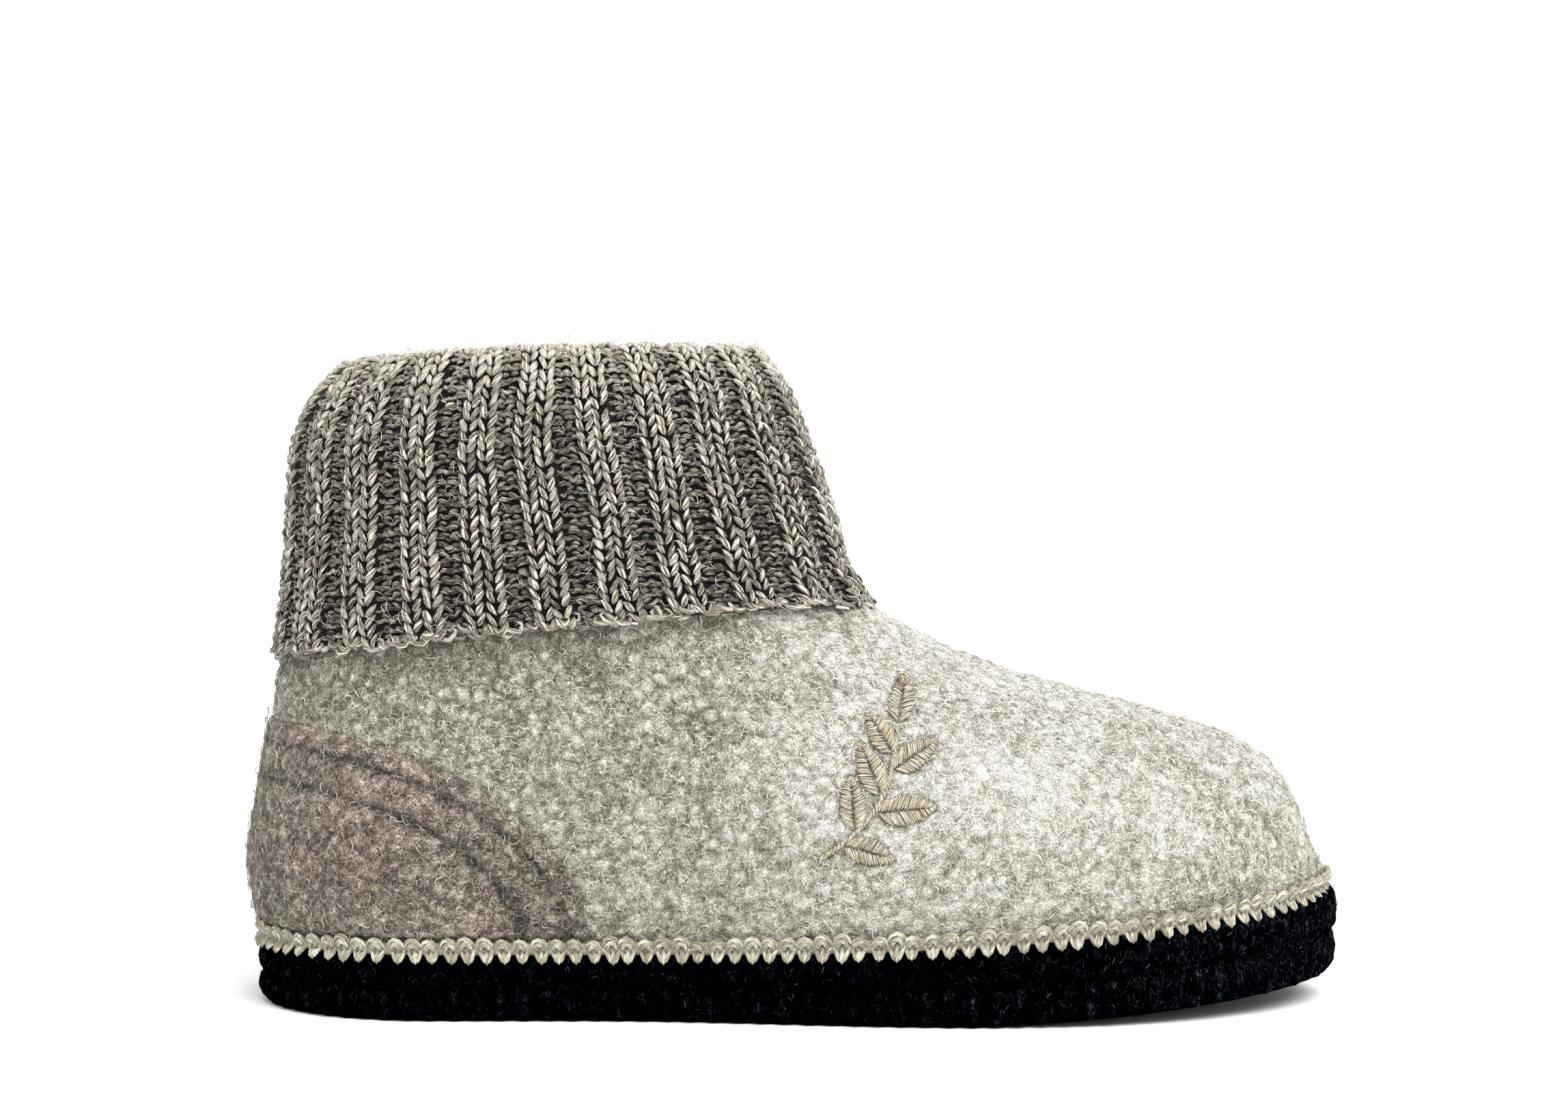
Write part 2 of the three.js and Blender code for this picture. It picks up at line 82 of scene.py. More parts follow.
# Rings of the upper's face from the feather edge to the fold of the cuff, in shares of the feather
# length, the rise and the half width at the ball:
# behind, short, back rise, front rise, side lift, half width, heel round, toe round, plan
RING_ROWS = np.array([
    [0, 0, 0, 0, 0, 1, 0.165, 0.25, 1],
    [0.008, -0.006, 0.046, 0.03, 0, 1.022, 0.17, 0.262, 0.95],
    [0.0145, 0.001, 0.107, 0.064, 0, 1.038, 0.175, 0.28, 0.9],
    [0.0145, 0.012, 0.165, 0.121, 0, 1.036, 0.18, 0.305, 0.8],
    [0.0095, 0.028, 0.223, 0.186, 0, 1.016, 0.19, 0.34, 0.65],
    [0.0045, 0.053, 0.277, 0.24, 0, 0.984, 0.2, 0.39, 0.5],
    [-0.0005, 0.091, 0.327, 0.287, 0, 0.946, 0.22, 0.44, 0.35],
    [-0.0035, 0.143, 0.371, 0.329, 0, 0.912, 0.245, 0.475, 0.22],
    [-0.0045, 0.21, 0.407, 0.374, 0, 0.888, 0.275, 0.5, 0.12],
    [-0.006, 0.286, 0.439, 0.424, 0, 0.873, 0.31, 0.5, 0.05],
    [-0.011, 0.364, 0.474, 0.486, 0, 0.862, 0.35, 0.5, 0],
    [-0.0185, 0.437, 0.518, 0.568, 0, 0.85, 0.4, 0.5, 0],
    [-0.024, 0.463, 0.576, 0.618, 0, 0.845, 0.44, 0.5, 0],
    [-0.029, 0.478, 0.663, 0.704, 0, 0.843, 0.47, 0.5, 0],
    [-0.033, 0.492, 0.756, 0.781, 0.004, 0.84, 0.5, 0.5, 0],
    [-0.037, 0.507, 0.839, 0.856, 0.012, 0.835, 0.5, 0.5, 0],
    [-0.054, 0.522, 0.911, 0.92, 0.025, 0.826, 0.5, 0.5, 0],
    [-0.077, 0.544, 0.955, 0.973, 0.031, 0.81, 0.5, 0.5, 0],
])
TOP_LEVEL = len(RING_ROWS) - 1

# The sole's plan: share of the length, half width, sideways swing of the middle line
PLAN_ROWS = np.array([
    [0, 0.8, 0],
    [0.2, 0.8, 0],
    [0.35, 0.8, -0.004],
    [0.47, 0.86, -0.014],
    [0.58, 0.95, -0.014],
    [0.67, 1, -0.007],
    [0.78, 1, 0.012],
    [0.88, 0.99, 0.038],
    [1, 0.98, 0.062],
])

HEM_BACK = 82.2
HEM_FRONT = 95.7
HEM_ARCH = 2.8
HEM_REACH = 0.565
KICK_START = -0.46
KICK_POWER = 2.1
SPRING_START = 0.31
SPRING_POWER = 1.25


# The boot's form

def mix(a, b, share):
    return a + (b - a) * share


def unit(vectors):
    return vectors / np.maximum(np.linalg.norm(vectors, axis=-1, keepdims=True), 1e-9)


def rows_at(rows, position):
    """Smooth values between the rows of a table, one array for each column."""
    position = np.asarray(position, float)
    last = len(rows) - 1
    start = np.clip(np.floor(position), 0, last - 1).astype(int)
    share = (position - start)[..., None]
    before, here, after, beyond = (rows[np.clip(start + step, 0, last)] for step in (-1, 0, 1, 2))
    values = 0.5 * (
        2 * here + (after - before) * share
        + (2 * before - 5 * here + 4 * after - beyond) * share ** 2
        + (3 * here - before - 3 * after + beyond) * share ** 3
    )
    return np.moveaxis(values, -1, 0)


def plan_at(share):
    return rows_at(PLAN_ROWS, np.interp(share, PLAN_ROWS[:, 0], np.arange(len(PLAN_ROWS))))


def sole_top(x):
    start = KICK_START * HALF_LENGTH
    return SOLE_HEIGHT + TOE_KICK * (np.maximum(x - start, 0) / (FEATHER_FRONT - start)) ** KICK_POWER


def sole_underside(x):
    start = SPRING_START * HALF_LENGTH
    return TOE_SPRING * (np.maximum(x - start, 0) / (FEATHER_FRONT - start)) ** SPRING_POWER


def round_end(distance, stretch):
    return np.sqrt(np.maximum(1 - (1 - np.minimum(distance / stretch, 1)) ** 2, 0))


def loft(level, angle):
    """Points of the upper's face. The angle runs from the heel over the outer side to the toe and back."""
    level, angle = np.broadcast_arrays(np.asarray(level, float), np.mod(angle, TURN))
    behind, short, back_rise, front_rise, side_lift, half, heel_round, toe_round, plan = rows_at(
        RING_ROWS, level)
    share = (1 - np.cos(angle)) / 2
    x = mix(FEATHER_BACK - behind * FEATHER_LENGTH, FEATHER_FRONT - short * FEATHER_LENGTH, share)
    _, plan_half, swing = plan_at((x - FEATHER_BACK) / FEATHER_LENGTH)
    width = HALF_BALL * half * mix(1, plan_half, plan)
    width = width * round_end(share, heel_round) * round_end(1 - share, toe_round)
    side = np.where(angle <= math.pi, -1, 1)
    rise = mix(back_rise, front_rise, share) + side_lift * np.abs(np.sin(angle))
    return np.stack([
        x, swing * BALL_WIDTH + side * width, sole_top(x) + CLEARANCE + rise * UPPER_RISE,
    ], axis=-1)


NORMAL_STEP = 0.01


def loft_normal(level, angle):
    up = loft(np.minimum(level + NORMAL_STEP, TOP_LEVEL), angle)
    up = up - loft(np.maximum(level - NORMAL_STEP, 0), angle)
    along = loft(level, angle + NORMAL_STEP) - loft(level, angle - NORMAL_STEP)
    return unit(np.cross(along, up))


def level_normal(level, angle):
    return unit(loft_normal(level, angle) * (1, 1, 0))


def level_where(angle, test):
    """The level at each angle where a rising test turns true."""
    low = np.zeros(np.shape(angle))
    high = np.full(np.shape(angle), float(TOP_LEVEL))
    for _ in range(26):
        middle = (low + high) / 2
        met = test(loft(middle, angle))
        high = np.where(met, middle, high)
        low = np.where(met, low, middle)
    return high


def hem_height(x):
    share = np.clip((x - FEATHER_BACK) / (HEM_REACH * FEATHER_LENGTH), 0, 1)
    return mix(HEM_BACK, HEM_FRONT, share) + HEM_ARCH * np.sin(math.pi * share)


def hem_level(angle, above=0):
    return level_where(angle, lambda point: point[..., 2] >= hem_height(point[..., 0]) + above)


def travelled(points):
    """Distance from the first point of each column."""
    steps = np.linalg.norm(np.diff(points, axis=0), axis=-1)
    return np.concatenate([np.zeros((1,) + steps.shape[1:]), np.cumsum(steps, axis=0)])


def even_angles(level, shares):
    """Angles that lie evenly along a ring, the same number on each side."""
    shares = np.mod(shares, 1)
    angles = np.empty(len(shares))
    for first, start in ((True, 0), (False, math.pi)):
        samples = start + np.linspace(0, math.pi, 721)
        length = travelled(loft(level, np.clip(samples, start + 1e-7, start + math.pi - 1e-7)))
        mine = (shares < 0.5) == first
        wanted = (shares[mine] - (0 if first else 0.5)) * 2 * length[-1]
        angles[mine] = np.interp(wanted, length, samples)
    return angles


def even_levels(angles, low, high, rows, samples=160):
    """Levels in rows that lie evenly up each column between two levels."""
    fine = mix(low, high, np.linspace(0, 1, samples)[:, None])
    length = travelled(loft(fine, angles))
    shares = np.linspace(0, 1, rows + 1)
    return np.stack([
        np.interp(shares * length[-1, column], length[:, column], fine[:, column])
        for column in range(len(angles))
    ], axis=1)


# Meshes

def noise_at(points, size, seed=0.0):
    """Smooth noise from -1 to 1 with lumps of about the given size."""
    flat = (points.reshape(-1, 3) / size + seed).tolist()
    return np.array([noise.noise(Vector(point)) for point in flat]).reshape(points.shape[:-1])


def nubs_at(points, size, seed=0.0):
    """Round nubs: 1 at the middle of each cell, 0 between the cells."""
    flat = (points.reshape(-1, 3) / size + seed).tolist()
    near = np.array([noise.voronoi(Vector(point))[0][:2] for point in flat])
    nub = np.clip((near[:, 1] - near[:, 0]) / 0.5, 0, 1)
    return (nub * (2 - nub)).reshape(points.shape[:-1])


def grid_faces(rows, columns, closed_rows=False):
    """Quads of a grid whose columns run round; its rows may close on themselves too."""
    bands = rows if closed_rows else rows - 1
    band, column = np.meshgrid(np.arange(bands), np.arange(columns), indexing="ij")
    here = band * columns
    above = ((band + 1) % rows) * columns
    beside = (column + 1) % columns
    return np.stack([here + column, here + beside, above + beside, above + column], axis=-1).reshape(-1, 4)


def no_triangles():
    return np.zeros((0, 3), int)


def new_piece(name, points, quads, triangles, material, node=None, slot=None, attributes=None):
    """A smooth mesh object from points in millimetres, that rides on the boot."""
    points = points.reshape(-1, 3)
    a, b, c = points[quads[:, 0]], points[quads[:, 1]], points[quads[:, 2]]
    d = points[quads[:, 3]]
    volume = np.sum(a * np.cross(b, c)) + np.sum(a * np.cross(c, d))
    if len(triangles):
        a, b, c = (points[triangles[:, corner]] for corner in range(3))
        volume += np.sum(a * np.cross(b, c))
    if volume < 0:
        quads, triangles = quads[:, ::-1], triangles[:, ::-1]
    corners = np.concatenate([quads.ravel(), triangles.ravel()]).astype(np.int32)
    starts = np.concatenate([
        np.arange(len(quads)) * 4, len(quads) * 4 + np.arange(len(triangles)) * 3,
    ]).astype(np.int32)
    mesh = bpy.data.meshes.new(name)
    mesh.vertices.add(len(points))
    mesh.vertices.foreach_set("co", (points * MM).astype(np.float32).ravel())
    mesh.loops.add(len(corners))
    mesh.loops.foreach_set("vertex_index", corners)
    mesh.polygons.add(len(starts))
    mesh.polygons.foreach_set("loop_start", starts)
    mesh.polygons.foreach_set("use_smooth", np.ones(len(starts), bool))
    mesh.update(calc_edges=True)
    for key, values in (attributes or {}).items():
        values = np.asarray(values, np.float32)
        vector = values.ndim > 1 and values.shape[-1] == 3
        attribute = mesh.attributes.new(key, "FLOAT_VECTOR" if vector else "FLOAT", "POINT")
        attribute.data.foreach_set("vector" if vector else "value", values.ravel())
    mesh.materials.append(material)
    piece = bpy.data.objects.new(name, mesh)
    bpy.context.scene.collection.objects.link(piece)
    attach(piece, "root")
    if node:
        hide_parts(node)
    return piece


def tubes(paths, radii, ups, sides, flatness=1.0):
    """Closed tubes with pointed ends along many paths. Returns points, quads, triangles and where
    each point lies: the cosine and sine round its tube, and how far along it is from 0 to 1."""
    count, steps = paths.shape[:2]
    tangents = unit(np.gradient(paths, axis=1))
    across = unit(np.cross(tangents, ups))
    upward = np.cross(across, tangents)
    turns = TURN * np.arange(sides) / sides
    inner = slice(1, steps - 1)
    spread = np.cos(turns)[:, None] * across[:, inner, None]
    spread = spread + flatness * np.sin(turns)[:, None] * upward[:, inner, None]
    rings = paths[:, inner, None] + radii[:, inner, None, None] * spread
    points = np.concatenate([rings.reshape(count, -1, 3), paths[:, :1], paths[:, -1:]], axis=1)
    each = points.shape[1]
    ring, side = np.meshgrid(np.arange(steps - 3), np.arange(sides), indexing="ij")
    here, beside = ring * sides + side, ring * sides + (side + 1) % sides
    quads = np.stack([here, here + sides, beside + sides, beside], axis=-1).reshape(-1, 4)
    side = np.arange(sides)
    beside = (side + 1) % sides
    last = (steps - 3) * sides
    first_tip, last_tip = np.full(sides, each - 2), np.full(sides, each - 1)
    triangles = np.concatenate([
        np.stack([first_tip, side, beside], axis=-1),
        np.stack([last_tip, last + beside, last + side], axis=-1),
    ])
    offsets = (np.arange(count) * each)[:, None, None]
    along = np.repeat(np.arange(1, steps - 1) / (steps - 1), sides)
    place = np.stack([
        np.append(np.tile(np.cos(turns), steps - 2), (1, 1)),
        np.append(np.tile(np.sin(turns), steps - 2), (0, 0)),
        np.append(along, (0, 1)),
    ], axis=-1)
    place = np.broadcast_to(place, (count, each, 3)).reshape(-1, 3)
    return (
        points.reshape(-1, 3), (quads + offsets).reshape(-1, 4), (triangles + offsets).reshape(-1, 3),
        place, each,
    )


def joined(parts):
    """Several (points, quads, triangles) as one."""
    offset = 0
    points, quads, triangles = [], [], []
    for part_points, part_quads, part_triangles in parts:
        points.append(part_points.reshape(-1, 3))
        quads.append(part_quads + offset)
        triangles.append(part_triangles + offset)
        offset += len(points[-1])
    return np.concatenate(points), np.concatenate(quads), np.concatenate(triangles)


# Materials

def paint(red, green, blue):
    """Linear colour of an sRGB one given from 0 to 255."""
    values = [value / 255 for value in (red, green, blue)]
    linear = [v / 12.92 if v <= 0.04045 else ((v + 0.055) / 1.055) ** 2.4 for v in values]
    return (*linear, 1)


class Finish:
    """A material whose nodes are added one by one."""

    def __init__(self, name, **shader_values):
        self.material = bpy.data.materials.new(name)
        self.material.use_nodes = True
        self.tree = self.material.node_tree
        self.shader = self.tree.nodes["Principled BSDF"]
        for socket, value in shader_values.items():
            self.shader.inputs[socket.replace("_", " ")].default_value = value
        self.place = self.add("ShaderNodeTexCoord").outputs["Object"]

    def add(self, kind, inputs=None, **settings):
        node = self.tree.nodes.new(kind)
        for key, value in settings.items():
            setattr(node, key, value)
        for key, value in (inputs or {}).items():
            if isinstance(value, bpy.types.NodeSocket):
                self.tree.links.new(value, node.inputs[key])
            else:
                node.inputs[key].default_value = value
        return node

    def math(self, operation, *values, clamp=False):
        inputs = dict(enumerate(values))
        return self.add("ShaderNodeMath", inputs, operation=operation, use_clamp=clamp).outputs[0]

    def noise(self, size, detail=2.0, roughness=0.5, distortion=0.0, place=None, seed=0.0):
        """Noise with lumps of about a size in millimetres."""
        inputs = {
            "Vector": place or self.place, "Scale": 1 / (size * MM), "Detail": detail,
            "Roughness": roughness, "Distortion": distortion, "W": seed,
        }
        return self.add("ShaderNodeTexNoise", inputs, noise_dimensions="4D").outputs[0]

    def stretch(self, value, low, high, clamp=True):
        """0 at a low value and 1 at a high one."""
        return self.add("ShaderNodeMapRange", {0: value, 1: low, 2: high, 3: 0.0, 4: 1.0}, clamp=clamp).outputs[0]

    def weighted(self, *terms, start=0.0):
        """Sum of values times their weights."""
        total = start
        for value, weight in terms:
            total = self.math("MULTIPLY_ADD", value, weight, total)
        return total

    def tinted(self, colour, size, share, seed):
        """Drifts the colour a little between a pinkish and a greenish cast."""
        cast = self.ramp(self.stretch(self.noise(size, 1.0, seed=seed), 0.35, 0.65), [
            (0.0, (255, 244, 241)), (0.5, (252, 252, 250)), (1.0, (248, 252, 242)),
        ])
        return self.blend(share, colour, cast, "MULTIPLY")

    def hairs(self, size, thickness, seed):
        """Thin curly lines, 1 along each line and 0 between them."""
        away = self.math("ABSOLUTE", self.math("SUBTRACT", self.noise(size, 1.0, 0.5, 0.3, seed=seed), 0.5))
        return self.add("ShaderNodeMapRange", {0: away, 1: 0.0, 2: thickness, 3: 1.0, 4: 0.0}).outputs[0]

    def nubs(self, size, seed):
        """Distance from the middle of the nearest cell of about a size in millimetres."""
        moved = self.add("ShaderNodeVectorMath", {0: self.place, 1: (seed, seed, seed)}).outputs[0]
        return self.add("ShaderNodeTexVoronoi", {"Vector": moved, "Scale": 1 / (size * MM)}).outputs["Distance"]

    def ramp(self, factor, stops):
        node = self.add("ShaderNodeValToRGB", {"Fac": factor})
        while len(node.color_ramp.elements) < len(stops):
            node.color_ramp.elements.new(0.5)
        for element, (position, colour) in zip(node.color_ramp.elements, stops):
            element.position = position
            element.color = paint(*colour)
        return node.outputs[0]

    def blend(self, factor, a, b, blend_type="MIX"):
        node = self.add("ShaderNodeMix", {0: factor, 6: a, 7: b}, data_type="RGBA", blend_type=blend_type)
        return node.outputs[2]

    def attribute(self, name, output="Fac"):
        return self.add("ShaderNodeAttribute", attribute_name=name).outputs[output]

    def finish(self, colour=None, height=None, bump=1.0, depth=0.3):
        """Links the colour and a bump whose height of 1 stands for a depth in millimetres."""
        if colour is not None:
            self.tree.links.new(colour, self.shader.inputs["Base Color"])
        if height is not None:
            node = self.add("ShaderNodeBump", {"Height": height, "Strength": bump, "Distance": depth * MM})
            self.tree.links.new(node.outputs[0], self.shader.inputs["Normal"])
        return self.material


WOOL_SHADES = [(0.0, (90, 84, 66)), (0.3, (149, 144, 125)), (0.6, (205, 202, 189)), (1.0, (250, 249, 246))]
COUNTER_SHADES = [(0.0, (40, 31, 25)), (0.35, (100, 88, 78)), (0.65, (152, 141, 128)), (1.0, (220, 211, 199))]


def wool_material(name, shades, hair_colour, seed, cast, curl_share):
    """Boiled wool: light curly nubs on a darker ground, under fine curly fibres."""
    wool = Finish(name, Roughness=0.95, Sheen_Weight=0.15, Sheen_Roughness=0.6, Specular_IOR_Level=0.1)
    patches = wool.stretch(wool.noise(13, 2.0, 0.6, seed=seed), 0.32, 0.68)
    clumps = wool.stretch(wool.noise(3.6, 1.0, 0.5, 0.4, seed=seed + 1), 0.36, 0.64)
    nubs = wool.stretch(wool.nubs(3.0, 0.1 * seed), 0.54, 0.14)
    middling = wool.stretch(wool.noise(1.5, 1.0, 0.5, 0.6, seed=seed + 3), 0.34, 0.66)
    fine = wool.stretch(wool.noise(0.6, 2.0, 0.75, 0.8, seed=seed + 2), 0.3, 0.7)
    hairs = [wool.hairs(size, 0.04, seed + index) for index, size in enumerate((1.7, 1.3, 1.0, 0.8))]
    light_hairs = wool.math("MAXIMUM", hairs[0], hairs[2])
    dark_hairs = wool.math("MAXIMUM", hairs[1], hairs[3])
    factor = wool.weighted(
        (patches, 0.24), (clumps, 0.2), (nubs, 0.25), (middling, 0.15), (fine, 0.2), (light_hairs, curl_share),
        (dark_hairs, -curl_share), start=-0.02)
    # the tone attribute adds painted light and shade, worked out for each point of the mesh
    factor = wool.math("ADD", factor, wool.attribute("tone"), clamp=True)
    colour = wool.ramp(factor, shades)
    colour = wool.blend(wool.math("MULTIPLY", light_hairs, 0.25), colour, paint(*hair_colour))
    colour = wool.tinted(colour, 22, cast, seed + 5)
    height = wool.weighted(
        (nubs, 0.5), (clumps, 0.4), (middling, 0.45), (light_hairs, 0.25), (dark_hairs, -0.25), (fine, 0.25))
    return wool.finish(colour, height, 1.0, 1.0)


def fibre_material(name, shades, roughness=0.8):
    """Single fibres, each with its own shade."""
    fibre = Finish(name, Roughness=roughness, Sheen_Weight=0.15, Specular_IOR_Level=0.2)
    return fibre.finish(fibre.ramp(fibre.attribute("tone"), shades))


def yarn_material(name, shades, twist, start, roughness=0.85, streak=1.7, cast=0.7):
    """Twisted yarn: streaks of mixed fibres that wind along each strand."""
    yarn = Finish(name, Roughness=roughness, Sheen_Weight=0.12, Sheen_Roughness=0.5, Specular_IOR_Level=0.15)
    tone = yarn.attribute("tone")
    where = yarn.add("ShaderNodeSeparateXYZ", {0: yarn.attribute("strand", "Vector")})
    turn = yarn.math("ARCTAN2", where.outputs[1], where.outputs[0])
    turn = yarn.math("MULTIPLY_ADD", where.outputs[2], twist, turn)
    wound = yarn.add("ShaderNodeCombineXYZ", {
        0: yarn.math("MULTIPLY", yarn.math("COSINE", turn), streak),
        1: yarn.math("MULTIPLY", yarn.math("SINE", turn), streak),
        2: yarn.math("MULTIPLY_ADD", tone, 60.0, yarn.math("MULTIPLY", where.outputs[2], 1.3)),
    }).outputs[0]
    streaks = yarn.add("ShaderNodeTexNoise", {
        "Vector": wound, "Scale": 1.0, "Detail": 2.0, "Roughness": 0.65, "Distortion": 0.2}).outputs[0]
    streaks = yarn.stretch(streaks, 0.41, 0.6)
    fine = yarn.stretch(yarn.noise(0.4, 2.0, 0.7, 0.4), 0.3, 0.7)
    blotches = yarn.stretch(yarn.noise(2.6, 2.0, 0.6), 0.3, 0.7)
    factor = yarn.weighted((streaks, 0.66), (fine, 0.24), (blotches, 0.16), start=start)
    factor = yarn.math("ADD", factor, tone, clamp=True)
    colour = yarn.tinted(yarn.ramp(factor, shades), 3.5, cast, 3.0)
    return yarn.finish(colour, yarn.weighted((fine, 0.35), start=streaks), 1.0, 0.45)


KNIT_SHADES = [(0.0, (22, 17, 11)), (0.25, (76, 69, 58)), (0.55, (150, 143, 130)), (1.0, (238, 233, 221))]
# the valleys' yarn is the rib yarn painted darker: painted shade between the ribs
VALLEY_SHADES = [(0.0, (14, 10, 7)), (0.25, (62, 54, 45)), (0.55, (130, 122, 108)), (1.0, (210, 203, 188))]
BEIGE_SHADES = [(0.0, (92, 84, 66)), (0.35, (160, 152, 130)), (0.65, (200, 194, 174)), (1.0, (232, 228, 212))]
THREAD_SHADES = [(0.0, (84, 70, 42)), (0.35, (156, 140, 106)), (0.65, (202, 188, 156)), (1.0, (248, 240, 220))]


def sole_material(name, seed):
    """Black felt with clumps of short upright fibres."""
    felt = Finish(name, Roughness=0.95, Specular_IOR_Level=0.0)
    upright = felt.add("ShaderNodeVectorMath", {0: felt.place, 1: (1, 1, 0.3)}, operation="MULTIPLY").outputs[0]
    fibres = felt.stretch(felt.noise(0.42, 2.0, 0.7, 0.8, place=upright, seed=seed), 0.4, 0.66)
    clumps = felt.stretch(felt.noise(2.6, 1.0, 0.6, 0.5, seed=seed + 1), 0.36, 0.66)
    # the tone attribute adds painted light towards the toe and painted highlights on the outsole's nubs
    amount = felt.math("ADD", felt.weighted((clumps, 0.6), start=0.12), felt.attribute("tone"), clamp=True)
    colour = felt.ramp(felt.math("MULTIPLY", fibres, amount), SOLE_SHADES)
    return felt.finish(colour, felt.weighted((clumps, 0.5), start=fibres), 1.0, 0.6)


def felt_material(name, shades, lump, seed):
    """Felted wool without nubs."""
    felt = Finish(name, Roughness=0.95, Specular_IOR_Level=0.03)
    fine = felt.noise(0.7, 3.0, 0.7, 1.2, seed=seed)
    lumps = felt.noise(lump, 2.0, 0.6, seed=seed + 1)
    hairs = felt.math("MAXIMUM", felt.hairs(1.3, 0.03, seed), felt.hairs(0.9, 0.03, seed + 3))
    factor = felt.weighted((felt.stretch(fine, 0.3, 0.7), 0.45), (felt.stretch(lumps, 0.3, 0.7), 0.3), (hairs, 0.25))
    height = felt.math("MULTIPLY_ADD", hairs, 0.35, fine)
    return felt.finish(felt.ramp(factor, shades), height, 1.0, 0.6)


SOLE_SHADES = [(0.0, (0, 0, 1)), (0.3, (2, 3, 6)), (0.6, (14, 17, 24)), (1.0, (66, 74, 88))]
INSOLE_SHADES = [(0.0, (160, 154, 140)), (0.5, (198, 192, 178)), (1.0, (232, 228, 216))]

WOOL = wool_material("boiled_wool", WOOL_SHADES, (250, 249, 244), 2.0, cast=0.3, curl_share=0.3)
COUNTER_WOOL = wool_material("counter_wool", COUNTER_SHADES, (214, 204, 194), 11.0, cast=0.9, curl_share=0.38)
WOOL_FIBRE = fibre_material("wool_fibre", [
    (0.0, (96, 90, 76)), (0.3, (170, 166, 154)), (0.65, (226, 224, 216)), (1.0, (250, 249, 245)),
])
COUNTER_FIBRE = fibre_material("counter_fibre", [
    (0.0, (72, 62, 54)), (0.5, (140, 129, 116)), (1.0, (214, 206, 194)),
])
SOLE_FIBRE = fibre_material("sole_fibre", [(0.0, (8, 10, 14)), (0.4, (26, 31, 40)), (1.0, (112, 120, 132))])
KNIT_YARN = yarn_material("rib_yarn", KNIT_SHADES, 2.4, 0.06)
# a shaded copy of the rib yarn, with painted shade for the valleys
VALLEY_YARN = yarn_material("valley_yarn", VALLEY_SHADES, 1.8, -0.04)
SEAM_YARN = yarn_material("seam_yarn", BEIGE_SHADES, 4.0, 0.12, cast=0.1)
THREAD = yarn_material("embroidery_thread", THREAD_SHADES, 1.0, 0.27, roughness=0.4, streak=1.2, cast=0.0)
SOLE_FELT = sole_material("sole_felt", 5.0)
SOLE_KNIT = sole_material("sole_knit", 9.0)
INSOLE_FELT = felt_material("insole_felt", INSOLE_SHADES, 8, 13.0)


# Wool

UPPER_COLUMNS = 640
UPPER_ROWS = 108
UPPER_INNER_ROWS = 14
HIDDEN_ROWS = 3


def wool_relief(points, nub_height):
    """Height of the boiled wool's lumps and nubs, and a painted shade: lighter on the nubs, darker in the hollows
    between them.
    """
    lumps = 0.45 * noise_at(points, 14, 3.1) + 0.4 * noise_at(points, 5.5, 8.4)
    curls = noise_at(points, 1.8, 5.2)
    nubs = nubs_at(points + 0.5 * curls[..., None], 3.6, 1.7)
    return lumps + nub_height * (nubs - 0.6) + 0.3 * curls, 0.2 * (nubs - 0.6) + 0.12 * curls


def painted_wool_light(points):
    """Painted light and shade: lighter over the instep and toe, where the light falls from above, darker towards the
    back and the sole, and a painted shadow under the cuff's hem.
    """
    x, _, z = np.moveaxis(points, -1, 0)
    back = np.clip((15 - x) / 60, 0, 1)
    hem_shadow = np.clip(1 - (hem_height(x) - z) / 18, 0, 1) * (x < HEM_REACH * FEATHER_LENGTH + FEATHER_BACK)
    high = np.clip((z - 25) / 25, 0, 1)
    front = np.clip((x + 35) / 60, 0, 1)
    toe = np.clip((x - 55) / 45, 0, 1)
    tone = 0.06 + 0.18 * high * front - 0.15 * back * (0.55 + 0.45 * high)
    return tone - 0.11 * toe - 0.17 * hem_shadow ** 2


def make_upper():
    angles = even_angles(3.0, np.arange(UPPER_COLUMNS) / UPPER_COLUMNS)
    feather = np.zeros(UPPER_COLUMNS)
    hems = hem_level(angles)
    tops = hem_level(angles, CUFF_OVERLAP)
    levels = even_levels(angles, feather, hems, UPPER_ROWS)
    hidden = mix(hems, tops, np.linspace(0, 1, HIDDEN_ROWS + 1)[1:, None])
    levels = np.concatenate([levels, hidden])
    points = loft(levels, angles)
    normals = loft_normal(levels, angles)
    rows = np.arange(len(levels))[:, None]
    fade = np.clip(rows / 5, 0.25, 1) * np.clip((UPPER_ROWS - rows) / 2, 0, 1)
    pressed = sprig_cover(points)
    relief, shade = wool_relief(points, 1.05)
    relief = relief * fade * (1 - pressed) - SPRIG_DENT * pressed
    relief = mix(relief, np.minimum(relief, -0.3), under_counter(points))
    outer = points + normals * relief[..., None]
    outer[0, :, 2] = points[0, :, 2]
    inner_levels = even_levels(angles, feather, tops, UPPER_INNER_ROWS)
    inner = loft(inner_levels, angles) - UPPER_WALL * loft_normal(inner_levels, angles)
    inner[0] = points[0] - UPPER_WALL * level_normal(levels[0], angles)
    body = np.concatenate([outer, inner[::-1]])
    tones = painted_wool_light(body)
    # painted shade: darker in the hollows between the nubs, and darker under the embroidery, between its threads
    tones[:len(outer)] += shade - 0.28 * pressed
    tones[len(outer):] = -0.05
    faces = grid_faces(len(body), UPPER_COLUMNS, closed_rows=True)
    new_piece("wool_upper", body, faces, no_triangles(), WOOL, "upper", "wool_upper", {"tone": tones})
    return outer[:UPPER_ROWS + 1], normals[:UPPER_ROWS + 1]


